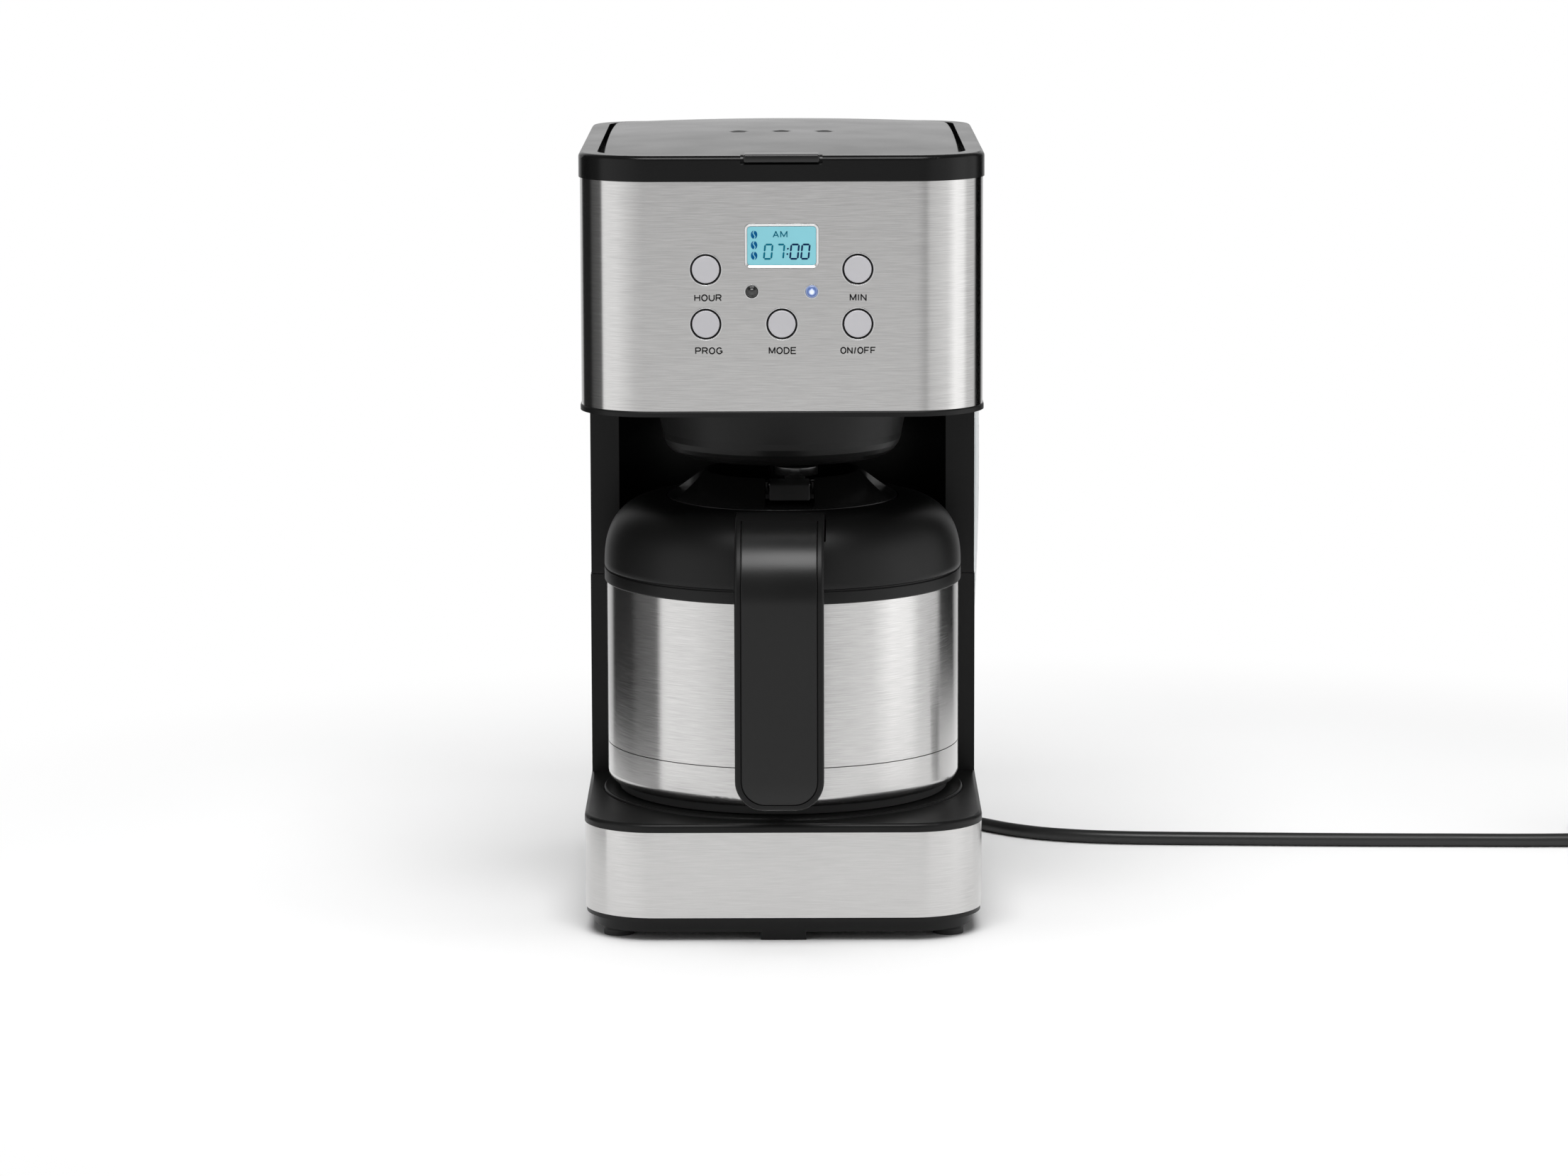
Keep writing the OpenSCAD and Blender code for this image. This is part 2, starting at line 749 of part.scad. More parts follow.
module spout_arm() {
    reach = sqrt(pow(riser[0], 2) + pow(riser[1] - jug_y, 2));
    angle = atan2(jug_y - riser[1], -riser[0]);
    z0 = ring_z + 2.8;
    color([0.14, 0.14, 0.145]) translate([riser[0], riser[1], 0]) rotate([0, 0, angle]) difference() {
        union() {
            block([0, -6.5, z0], [reach, 6.5, z0 + 5]);
            post(0, 0, z0, z0 + 5, 6.5);
            post(reach, 0, z0, z0 + 5, 6.5);
            post(0, 0, ring_z - 10, z0 + 1, riser_r);
        }
        post(0, 0, ring_z - 11, z0 + 3.4, 2.2);
        translate([0, 0, z0 + 2.4]) rotate([0, 90, 0]) cylinder(r = 1.6, h = reach);
        for (a = [0:60:300]) post(reach + 3.6 * cos(a), 3.6 * sin(a), z0 - 1, z0 + 2, 0.9);
        post(reach, 0, z0 - 1, z0 + 2.4, 1.4);
    }
}

// Space under the lid's long shallow arc, lowered by t and inset by u
module lid_form(u, t, z0) {
    intersection() {
        slab(u, z0, lid_peak + 2);
        translate([0, lid_peak_y, lid_peak - lid_curve_r]) rotate([0, 90, 0])
            cylinder(r = lid_curve_r - t, h = big, center = true, $fn = 1440);
        translate([-big / 2, -big / 2, 0]) cube([big, big / 2 + lid_rear_y - max(0, u - lid_inset), big]);
    }
}

module lid() {
    vent_y = front_y + 112;
    vent_top = lid_peak - pow(lid_peak_y - vent_y, 2) / (2 * lid_curve_r);
    color([0.14, 0.14, 0.15]) difference() {
        union() {
            difference() {
                lid_form(lid_inset, 0, lid_z);
                lid_form(lid_inset + 2, lid_t, lid_z - 1);
            }
            block([-tab_w / 2, front_y - 1, top_z - 3.5],
                  [tab_w / 2, front_y + lid_inset + 1, top_z + 0.6]);
            block([-barrel_x, hinge_y - 9, hinge_z - 1.5], [barrel_x, hinge_y, hinge_z + hinge_r]);
            along_x(-barrel_x, barrel_x, hinge_y, hinge_z, hinge_r);
        }
        along_x(-barrel_x - 1, barrel_x + 1, hinge_y, hinge_z, pin_r + run_fit);
        for (x = [-20, 0, 20]) {
            translate([x, vent_y, vent_top + 8]) sphere(9.6);
            block([x - 4, vent_y + 1, vent_top - 5], [x + 4, vent_y + 3, vent_top + 1]);
        }
    }
}

module hinge_pin() {
    color([0.75, 0.75, 0.76]) along_x(-barrel_x - ear_w, barrel_x + ear_w, hinge_y, hinge_z, pin_r);
}

module on_jug() {
    translate([0, jug_y, 0]) children();
}

// Half profile of a disc with a round lower edge
module cup_profile(r, z0, z1, f) {
    translate([0, z0]) square([r - f, z1 - z0]);
    translate([0, z0 + f]) square([r, z1 - z0 - f]);
    translate([r - f, z0 + f]) circle(f);
}

module jug_shell() {
    color([0.74, 0.74, 0.73]) on_jug() difference() {
        post(0, 0, shell_z, shell_top - 0.2, jug_r);
        post(0, 0, shell_z - 1, shell_top + 1, jug_r - steel_t);
    }
}

module jug_base_cup() {
    color([0.74, 0.74, 0.73]) on_jug() difference() {
        rotate_extrude() cup_profile(jug_r, cup_z, cup_top, 5);
        rotate_extrude() cup_profile(jug_r - steel_t, cup_z + steel_t, cup_top + 1, 4.2);
    }
}

module jug_foot_ring() {
    color([0.07, 0.07, 0.07]) on_jug() difference() {
        post(0, 0, jug_z, cup_z, jug_r - 5.5);
        post(0, 0, jug_z - 1, cup_z + 1, jug_r - 16);
    }
}

module jug_liner() {
    r = jug_r - 6;
    t = 0.8;
    color([0.78, 0.78, 0.77]) on_jug() rotate_extrude() polygon([
        [0, cup_z + 4], [r - 8, cup_z + 4], [r - 2, cup_z + 6], [r, cup_z + 12], [r, shell_top - 12],
        [r - 3, shell_top - 2], [r - 12, shell_top + 7], [44, shell_top + 15],
        [neck_r + 1.4, shell_top + 19],
        [neck_r + 1.4, dome_top - 6], [neck_r + 0.3, dome_top - 6], [neck_r + 0.3, shell_top + 18.6],
        [43.4, shell_top + 14.3], [r - 12.6, shell_top + 6.4], [r - 3 - t, shell_top - 2.4],
        [r - t, shell_top - 12.2], [r - t, cup_z + 12.2], [r - 2.6, cup_z + 6.6],
        [r - 8.2, cup_z + 4 + t], [0, cup_z + 4 + t]
    ]);
}

// Points of the shoulder's dome, t inside its outer face
function dome(t, steps = 14) = let (a = collar_r - seat_r, b = dome_h - t) [
    for (i = [0:steps]) let (q = 90 * i / steps)
        [seat_r - t + a * pow(cos(q), 2 / dome_power), dome_z + b * pow(sin(q), 2 / dome_power)]
];
function backwards(list) = [for (i = [len(list) - 1:-1:0]) list[i]];

// Handle's side outline as a band between two depths under its outer face
function handle_line(d) =
    let (c = [handle_r - handle_bend_r, handle_bend_z], bend = handle_bend_r - d) concat(
        [[handle_top_r, c[1] + bend]],
        [for (q = [90:-7.5:0]) c + bend * [cos(q), sin(q)]],
        [[handle_r - d, handle_low_z]]
    );

// Band of the handle, d0 to d1 deep and w wide, with round lower corners. The jug stands slightly turned.
module handle_band(d0, d1, w, low, r) {
    on_jug() rotate([0, 0, handle_turn]) intersection() {
        translate([w / 2, 0, 0]) rotate([90, 0, -90]) linear_extrude(w)
            polygon(concat(handle_line(d0), backwards(handle_line(d1))));
        rotate([90, 0, 0]) linear_extrude(2 * handle_r) {
            translate([-w / 2, low + r]) square([w, dome_top]);
            translate([-w / 2 + r, low]) square([w - 2 * r, 2 * r]);
            for (s = [-1, 1]) translate([s * (w / 2 - r), low + r]) circle(r);
        }
    }
}

module dome_solid(t) {
    on_jug() rotate_extrude() polygon(concat(
        [[0, shell_top - 10], [collar_r - t, shell_top - 10]], dome(t), [[0, dome_top - t]]
    ));
}

module jug_shoulder() {
    neck_t = 2.3;
    color([0.1, 0.1, 0.105]) difference() {
        union() {
            on_jug() rotate_extrude() polygon(concat(
                [[jug_r - 3.4, shell_top - 6], [jug_r - 1, shell_top - 6], [jug_r - 1, shell_top],
                 [collar_r, shell_top], [collar_r, dome_z - 1.5], [collar_r - 0.7, dome_z - 1.5],
                 [collar_r - 0.7, dome_z - 0.6]],
                dome(0),
                [[seat_r, dome_top - 2.2], [neck_r, dome_top - 2.2], [neck_r, shell_top + 20],
                 [neck_r + 0.1, shell_top + 20], [neck_r + 0.1, dome_top - 5.9],
                 [neck_r + neck_t, dome_top - 5.9], [neck_r + neck_t, dome_top - 4.6],
                 [seat_r - 3, dome_top - 3.1]],
                backwards(dome(3))
            ));
            pour_lip();
        }
        handle_band(-1, handle_t + 0.1, handle_w + 1.2, handle_low_z, 1);
        on_jug() block([-5, 50, dome_top - 5], [5, 81, dome_top + 5]);
    }
}

// Beak at the rear of the shoulder
module pour_lip() {
    on_jug() translate([0, 0, dome_top - 8]) linear_extrude(9.2)
        polygon([[-12, 55], [-7, 80], [-4, 82.5], [4, 82.5], [7, 80], [12, 55]]);
}

module jug_handle() {
    color([0.1, 0.1, 0.105]) difference() {
        handle_band(0, handle_t, handle_w, handle_low_z, handle_end_r);
        difference() {
            handle_band(-1, inlay_t, handle_w - 2 * inlay_border, handle_low_z + inlay_border,
                        handle_end_r - inlay_border);
            on_jug() post(0, 0, dome_top - 30, dome_top + 10, inlay_top_r - 0.2);
        }
        dome_solid(3.1);
    }
}

module handle_inlay() {
    color([0.11, 0.11, 0.115]) difference() {
        handle_band(0.1, inlay_t, handle_w - 2 * inlay_border - 0.4, handle_low_z + inlay_border + 0.2,
                    handle_end_r - inlay_border - 0.2);
        on_jug() post(0, 0, dome_top - 30, dome_top + 10, inlay_top_r);
    }
}

module jug_lid() {
    s = dome_top;
    plug_r = neck_r - 0.4;
    color([0.08, 0.08, 0.085]) difference() {
        union() {
            on_jug() rotate_extrude() polygon([
                [0, s - 3], [plug_r - 4.4, s - 3], [plug_r - 4.4, s - 16], [plug_r, s - 16],
                [plug_r, s - 1.9], [53.6, s - 1.9], [53.6, s + 0.2], [36, s + 12.2], [34, s + 12.2],
                [30.5, s + 5], [0, s + 5]
            ]);
            for (x = [lever_x0 - 2.7, lever_x1 + 0.3])
                block([x, lever_pivot_y - 3, s + 4], [x + 2.4, lever_pivot_y + 3, s + 10]);
        }
        on_jug() {
            for (turn = [0, 180]) rotate([0, 0, turn]) translate([0, 0, s + 1.3]) linear_extrude(20)
                polygon([for (p = [[36.5, -20], [62, -20], [62, 20], [36.5, 20]])
                    p[0] * [cos(p[1]), sin(p[1])]]);
            block([lever_x0 - 2.2, -60, s + 1.2], [lever_x1 + 2.2, -27, s + 30]);
            block([-6, 28, s + 3], [6, 60, s + 30]);
            rotate_extrude() translate([plug_r - 1.2, s - 12]) circle(1.25);
            for (a = [0:60:300]) rotate([0, 0, a]) post(12, 0, s - 4, s + 6, 2.2);
        }
        along_x(lever_x0 - 4, lever_x1 + 4, lever_pivot_y, lever_pivot_z, lever_pin_r + 0.02);
    }
}

module lid_seal() {
    color([0.55, 0.55, 0.53]) on_jug() translate([0, 0, dome_top - 12]) rotate_extrude()
        translate([neck_r - 1.6, 0]) circle(1.2);
}

module pour_lever() {
    s = dome_top;
    color([0.12, 0.12, 0.125]) difference() {
        union() {
            on_jug() translate([lever_x0, 0, 0]) rotate([90, 0, 90]) linear_extrude(lever_x1 - lever_x0)
                polygon([[-47.2, s + 3.8], [-40.6, s + 10], [-21, s + 10.3], [-21, s + 6.4],
                         [-34, s + 6.4], [-45, s + 3.6]]);
            on_jug() block([1, -22, s + 7.2], [lever_x1 - 2, 2, s + 9.8]);
            post(cap_x, jug_y, s + 9.6, s + 13.9, cap_r);
        }
        along_x(lever_x0 - 1, lever_x1 + 1, lever_pivot_y, lever_pivot_z, lever_pin_r + run_fit);
    }
}

module lever_pin() {
    color([0.75, 0.75, 0.76])
        along_x(lever_x0 - 2.7, lever_x1 + 2.7, lever_pivot_y, lever_pivot_z, lever_pin_r);
}

module cord_gland() {
    tip = exit_y - back_y;
    color([0.07, 0.07, 0.07]) translate([exit_x, back_y, exit_z]) rotate([-90, 0, 0]) rotate_extrude()
        polygon([[0, -5], [9, -5], [9, -3.4], [7, -3.4], [7, 0.1], [8.6, 0.1], [8.6, 2], [6, 2.6],
                 [4.1, tip], [0, tip]]);
}

module power_cord() {
    color([0.06, 0.06, 0.06]) swept(ROUTE, cord_r, 10);
}

module cord_coil() {
    color([0.06, 0.06, 0.06]) translate([coil_at[0], coil_at[1], 0]) rotate_extrude()
        translate([coil_r - cord_r, coil_z0]) square([cord_d, coil_z1 - coil_z0]);
}

module coil_tie() {
    reach = cord_r + 0.1;
    color([0.2, 0.2, 0.2]) translate([coil_at[0] - coil_r, coil_at[1], 0]) difference() {
        block([-reach - 0.8, -3, 0.05], [reach + 0.8, 3, coil_z1 + 0.9]);
        block([-reach - 0.2, -4, coil_z0 - 0.1], [reach + 0.2, 4, coil_z1 + 0.1]);
    }
}

module mains_plug() {
    color([0.06, 0.06, 0.06]) translate(plug_at) rotate([-90, 0, 0]) rotate_extrude() polygon([
        [0, 0], [4.2, 0], [6, 22], [9, 24], [13, 30], [15, 40], [15, 44], [plug_r, 46], [plug_r, 52],
        [16.8, 52], [16.8, 58], [0, 58]
    ]);
    color([0.8, 0.8, 0.78]) translate(plug_at) rotate([-90, 0, 0]) for (s = [-1, 1]) {
        translate([s * 9.5, 0, 57]) cylinder(r = 2.4, h = 18);
        translate([s * 9.5, 0, 75]) sphere(2.4);
    }
}

bottom_plate();
rubber_feet();
base_screws();
base_skirt();
base_deck();
stand_plate();
heater();
thermostat();
thermal_fuse();
power_board();
tank_hose();
check_valve();
riser_hose();
housing_lower();
housing_upper();
water_tank();
gauge_window();
head_frame();
head_panel();
top_ring();
button_guide();
control_board();
button_switches();
lcd_module();
lcd_bezel();
lcd_window();
control_rims();
button(HOUR_AT);  // button_hour
button(MIN_AT);  // button_min
button(PROG_AT);  // button_prog
button(MODE_AT);  // button_mode
button(ON_OFF_AT);  // button_on_off
led(LEDS[0], [0.15, 0.15, 0.17]);  // led_left
led(LEDS[1], [0.75, 0.85, 1]);  // led_right
filter_housing();
filter_basket();
drip_valve();
drip_spring();
spout_arm();
lid();
hinge_pin();
jug_shell();
jug_base_cup();
jug_foot_ring();
jug_liner();
jug_shoulder();
jug_handle();
handle_inlay();
jug_lid();
lid_seal();
pour_lever();
lever_pin();
cord_gland();
power_cord();
cord_coil();
coil_tie();
mains_plug();
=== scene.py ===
"""Looks of a drip coffee maker with a steel thermal jug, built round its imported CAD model.

Metres, +Z up, and the front faces -Y, as in the CAD model.
"""
import json
import math

import bmesh
import bpy
from mathutils import Matrix, Quaternion, Vector


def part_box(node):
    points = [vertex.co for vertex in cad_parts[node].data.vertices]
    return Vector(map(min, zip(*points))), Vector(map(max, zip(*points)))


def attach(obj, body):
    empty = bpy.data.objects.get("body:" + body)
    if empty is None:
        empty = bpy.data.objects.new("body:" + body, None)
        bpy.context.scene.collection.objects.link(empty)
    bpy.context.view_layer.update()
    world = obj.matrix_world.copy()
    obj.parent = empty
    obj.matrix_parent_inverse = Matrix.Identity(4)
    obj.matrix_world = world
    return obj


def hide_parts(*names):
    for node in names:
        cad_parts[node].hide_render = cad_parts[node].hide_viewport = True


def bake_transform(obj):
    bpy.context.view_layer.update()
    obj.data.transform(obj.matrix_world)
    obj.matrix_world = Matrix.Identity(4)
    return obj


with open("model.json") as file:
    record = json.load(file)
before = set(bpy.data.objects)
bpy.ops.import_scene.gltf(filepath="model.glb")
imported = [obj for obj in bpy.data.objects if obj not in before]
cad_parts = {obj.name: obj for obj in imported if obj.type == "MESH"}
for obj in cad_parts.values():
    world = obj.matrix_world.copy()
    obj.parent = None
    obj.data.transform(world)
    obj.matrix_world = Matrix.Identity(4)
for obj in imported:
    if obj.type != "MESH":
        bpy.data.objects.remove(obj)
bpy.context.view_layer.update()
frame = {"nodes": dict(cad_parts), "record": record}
NODES = frame["nodes"]
MM = 0.001

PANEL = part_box("head_panel")
FRONT = PANEL[0].y
JUG_Y = sum(c.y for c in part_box("jug_shell")) / 2

# Millimetres from here on, as in the CAD model
PANEL_FACE, PANEL_FOOT = FRONT / MM, PANEL[0].z / MM
AXIS = JUG_Y / MM
BODY_W, BACK_Y = 182, 137
FRONT_R, REAR_R = 33, 26
RING_TOP = 358.1
LID_INSET, LID_FOOT = 10.3, 351
LID_PEAK, LID_PEAK_Y = 360.5, 14
LID_LONG_R, LID_CROSS_R = 2080, 1780
LID_EDGE_R, LID_WALL = 2.4, 2.2
VENT_XS, VENT_Y, VENT_BALL_R, VENT_BALL_LIFT = (-20, 0, 20), 4, 16, 15.3
HINGE, HINGE_R, HINGE_BORE, HINGE_HALF = (131, 352.5), 3.3, 1.56, 58.5
HANDLE_R, HANDLE_W, HANDLE_T = 121, 40, 13
HANDLE_LOW, HANDLE_END_R, HANDLE_TURN = 66.5, 13.5, -0.8
BEND_R, BEND_Z, END_DROP, SOFT_END_R = 36, 159.5, 3.6, 2.0
BORDER, INLAY_TOP_R = 2.6, 93
JUG_R, COLLAR_R, SEAT_R, NECK_R = 82, 83, 54.2, 39.5
DOME_Z, DOME_H = 161, 32
DOME_TOP, DOME_POWER = DOME_Z + DOME_H, 0.8
DISPLAY_AT = (0, PANEL_FOOT + 74.3)
BUTTON_PLACES, BUTTON_BORE = [(-34, 63.8), (34, 63.8), (-34, 39.3), (0, 39.3), (34, 39.3)], 6.94
LAMP_PLACES, LAMP_BORE = [(-13.4, 53.8), (13.4, 53.8)], 2.74
LEVER_X, LEVER_CAP_X, LEVER_PIN, LEVER_PIN_R = (-5.9, 12.5), 6.4, (-25, 8), 1.35
GAUGE_X, GAUGE_PEAK_Z, GAUGE_R, GAUGE_FOOT_Z, GAUGE_STEP = 95, 197, 1300, 106, 15


# ---------------------------------------------------------------- camera

def make_camera():
    """The photo's view, fitted to the corners of the head, the skirt and the jug."""
    distance, height, lean, roll = 2.5188, 0.5623, math.radians(9), math.radians(-0.168)
    data = bpy.data.cameras.new("camera")
    data.sensor_width = 36
    data.lens = 130
    data.clip_start = 0.1
    data.clip_end = 60
    camera = bpy.data.objects.new("camera", data)
    bpy.context.scene.collection.objects.link(camera)
    camera.rotation_mode = "QUATERNION"
    camera.location = (0.0006, FRONT - distance, height)
    upright = Quaternion((1, 0, 0), math.pi / 2 - lean)
    camera.rotation_quaternion = upright @ Quaternion((0, 0, 1), roll)
    bpy.context.scene.camera = camera


# ---------------------------------------------------------------- small helpers

def finish_piece(name, mesh, material, body, smooth=35):
    """A piece from a mesh, riding on a body if one is given. Edges under the angle are shaded smooth."""
    bm = bmesh.new()
    bm.from_mesh(mesh)
    bmesh.ops.remove_doubles(bm, verts=bm.verts, dist=1e-6)
    bmesh.ops.recalc_face_normals(bm, faces=bm.faces)
    limit = math.radians(smooth)
    for face in bm.faces:
        face.smooth = True
    for edge in bm.edges:
        edge.smooth = len(edge.link_faces) == 2 and edge.calc_face_angle(0) < limit
    bm.to_mesh(mesh)
    bm.free()
    piece = bpy.data.objects.new(name, mesh)
    bpy.context.scene.collection.objects.link(piece)
    mesh.materials.append(material)
    if body:
        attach(piece, body)
    return piece


# ---------------------------------------------------------------- shape helpers, in millimetres

def arc(cx, cy, r, start, end, steps=6):
    """Points on an arc, with the angles in degrees."""
    angles = [math.radians(start + (end - start) * i / steps) for i in range(steps + 1)]
    return [(cx + r * math.cos(a), cy + r * math.sin(a)) for a in angles]


def circle(steps):
    """(cosine, sine) pairs evenly round a circle."""
    return [(math.cos(a), math.sin(a)) for a in (2 * math.pi * i / steps for i in range(steps))]


def bridge(loops, first_cap=True, last_cap=True):
    """Faces between loops of equal length, in the order of their points."""
    count = len(loops[0])
    faces = []
    for k in range(len(loops) - 1):
        for i in range(count):
            a, b = k * count + i, k * count + (i + 1) % count
            faces.append((a, b, b + count, a + count))
    if first_cap:
        faces.append(tuple(range(count)))
    if last_cap:
        faces.append(tuple((len(loops) - 1) * count + i for i in range(count)))
    return [p for loop in loops for p in loop], faces


def plan_loop(inset, straight=14, turn=12):
    """The body's outline moved inwards, as (x, y) points anticlockwise from the front left corner."""
    half, front, rear = BODY_W / 2 - inset, PANEL_FACE + inset, BACK_Y - inset
    front_r, rear_r = max(0.5, FRONT_R - inset), max(0.5, REAR_R - inset)
    corners = [arc(-half + front_r, front + front_r, front_r, 180, 270, turn),
               arc(half - front_r, front + front_r, front_r, 270, 360, turn),
               arc(half - rear_r, rear - rear_r, rear_r, 0, 90, turn),
               arc(-half + rear_r, rear - rear_r, rear_r, 90, 180, turn)]
    loop = []
    for corner, following in zip(corners, corners[1:] + corners[:1]):
        a, b = corner[-1], following[0]
        loop += corner + [(a[0] + (b[0] - a[0]) * i / straight, a[1] + (b[1] - a[1]) * i / straight)
                          for i in range(1, straight)]
    return loop


def soft_box(low, high, radius, steps=4):
    """Mesh of a box with round edges, from corner to corner in millimetres."""
    bm = bmesh.new()
    bmesh.ops.create_cube(bm, size=1)
    low, high = Vector(low) * MM, Vector(high) * MM
    for vert in bm.verts:
        vert.co = Vector([low[i] + (high[i] - low[i]) * (vert.co[i] + 0.5) for i in range(3)])
    bmesh.ops.bevel(bm, geom=bm.edges[:], offset=radius * MM, segments=steps, profile=0.5, affect="EDGES")
    mesh = bpy.data.meshes.new("soft_box")
    bm.to_mesh(mesh)
    bm.free()
    return mesh


def mesh_of(verts, faces):
    """Mesh from points in millimetres, with its faces turned outwards."""
    mesh = bpy.data.meshes.new("part")
    mesh.from_pydata([tuple(Vector(v) * MM) for v in verts], [], faces)
    bm = bmesh.new()
    bm.from_mesh(mesh)
    bmesh.ops.remove_doubles(bm, verts=bm.verts, dist=1e-7)
    bmesh.ops.recalc_face_normals(bm, faces=bm.faces)
    bm.to_mesh(mesh)
    bm.free()
    return mesh


def joined(meshes):
    """One mesh from several."""
    bm = bmesh.new()
    for mesh in meshes:
        bm.from_mesh(mesh)
    whole = bpy.data.meshes.new("joined")
    bm.to_mesh(whole)
    bm.free()
    return whole


def cut(mesh, cutters):
    """The mesh with the cutters' shapes taken out of it."""
    scene = bpy.context.scene.collection
    work = bpy.data.objects.new("work", mesh)
    scene.objects.link(work)
    tools = []
    for cutter in cutters:
        tool = bpy.data.objects.new("tool", cutter)
        scene.objects.link(tool)
        step = work.modifiers.new("cut", "BOOLEAN")
        step.operation = "DIFFERENCE"
        step.solver = "EXACT"
        step.object = tool
        tools.append(tool)
    shape = bpy.data.meshes.new_from_object(work.evaluated_get(bpy.context.evaluated_depsgraph_get()))
    for done in tools + [work]:
        bpy.data.objects.remove(done)
    return shape


def turned_faces(count, steps):
    """Faces of a closed profile of that many points, turned all the way round in steps."""
    faces = []
    for i in range(steps):
        here, there = i * count, (i + 1) % steps * count
        for k in range(count):
            after = (k + 1) % count
            faces.append((here + k, there + k, there + after, here + after))
    return faces


def turned_mesh(profile, centre, steps):
    """Mesh turned from a closed (radius, height) profile."""
    x, y = centre
    verts = [(x + r * c, y + r * s, z) for c, s in circle(steps) for r, z in profile]
    return mesh_of(verts, turned_faces(len(profile), steps))


def tube_x(x0, x1, y, z, r, bore, steps=40):
    """Mesh of a tube along X with round outer edges."""
    profile = [(bore, x0), (r - 0.3, x0), (r, x0 + 0.3), (r, x1 - 0.3), (r - 0.3, x1), (bore, x1)]
    verts = [(x, y + reach * c, z + reach * s) for c, s in circle(steps) for reach, x in profile]
    return mesh_of(verts, turned_faces(len(profile), steps))


def prism_x(points, x0, x1, radius, steps=3):
    """Mesh of a (y, z) outline drawn out along X, with round edges."""
    mesh = mesh_of(*bridge([[(x, y, z) for y, z in points] for x in (x0, x1)]))
    bm = bmesh.new()
    bm.from_mesh(mesh)
    bmesh.ops.bevel(bm, geom=bm.edges[:], offset=radius * MM, segments=steps, profile=0.5, affect="EDGES")
    bm.to_mesh(mesh)
    bm.free()
    return mesh


# ---------------------------------------------------------------- lid

def lid_height(x, y):
    """Top face of the lid, crowned both ways."""
    return LID_PEAK - (y - LID_PEAK_Y) ** 2 / (2 * LID_LONG_R) - x * x / (2 * LID_CROSS_R)


def lid_row(outline, drop, share=1.0):
    """An outline drawn in towards the lid's peak by a share, a drop below the lid's top face."""
    row = [(x * share, LID_PEAK_Y + (y - LID_PEAK_Y) * share) for x, y in outline]
    return [(x, y, lid_height(x, y) - drop) for x, y in row]


def lid_shell():
    """The lid's crowned top with its round edge, hollow below."""
    rows = [[(x, y, LID_FOOT) for x, y in plan_loop(LID_INSET)]]
    for step in range(7):
        a = math.radians(90 * step / 6)
        inset = LID_INSET + LID_EDGE_R * (1 - math.cos(a))
        rows.append(lid_row(plan_loop(inset), LID_EDGE_R * (1 - math.sin(a))))
    crown = plan_loop(LID_INSET + LID_EDGE_R)
    rows += [lid_row(crown, 0, 1 - i / 40) for i in range(1, 40)]
    verts, faces = bridge(rows, first_cap=False)
    outside = len(verts)
    wall, ceiling = plan_loop(LID_INSET + 2), plan_loop(LID_INSET + 3.2)
    under = [[(x, y, LID_FOOT) for x, y in wall], lid_row(wall, LID_WALL + 1)]
    under += [lid_row(ceiling, LID_WALL, share) for share in (1, 0.8, 0.6, 0.4, 0.2, 0.02)]
    more, inside = bridge(under, first_cap=False)
    count = len(rows[0])
    faces += [tuple(outside + i for i in face) for face in inside]
    faces += [(i, (i + 1) % count, outside + (i + 1) % count, outside + i) for i in range(count)]
    return mesh_of(verts + more, faces)


def make_lid(material):
    """Crowned cover with three scooped vents, its front tab and the hinge barrel along its rear edge."""
    scoops = []
    for x in VENT_XS:
        ball = bmesh.new()
        bmesh.ops.create_uvsphere(ball, u_segments=96, v_segments=64, radius=VENT_BALL_R * MM)
        mesh = bpy.data.meshes.new("ball")
        ball.to_mesh(mesh)
        ball.free()
        centre = Vector((x, VENT_Y, lid_height(x, VENT_Y) + VENT_BALL_LIFT))
        mesh.transform(Matrix.Translation(centre * MM))
        hole = soft_box((x - 3.4, VENT_Y + 1.4, LID_PEAK - 6), (x + 3.4, VENT_Y + 2.4, LID_PEAK + 2), 0.4)
        scoops += [mesh, hole]
    top = cut(lid_shell(), scoops)
    tab = soft_box((-17, PANEL_FACE - 1.2, RING_TOP - 3), (17, PANEL_FACE + 13, RING_TOP + 0.6), 0.9, 5)
    barrel = tube_x(-HINGE_HALF, HINGE_HALF, *HINGE, HINGE_R, HINGE_BORE)
    strap = soft_box((-HINGE_HALF, HINGE[0] - 9, HINGE[1] - 1.5),
                     (HINGE_HALF, HINGE[0] - 2.4, HINGE[1] + HINGE_R - 0.1), 0.5)
    return finish_piece("lid_cover", joined([top, tab, barrel, strap]), material, "top_lid", 40)


# ---------------------------------------------------------------- handle

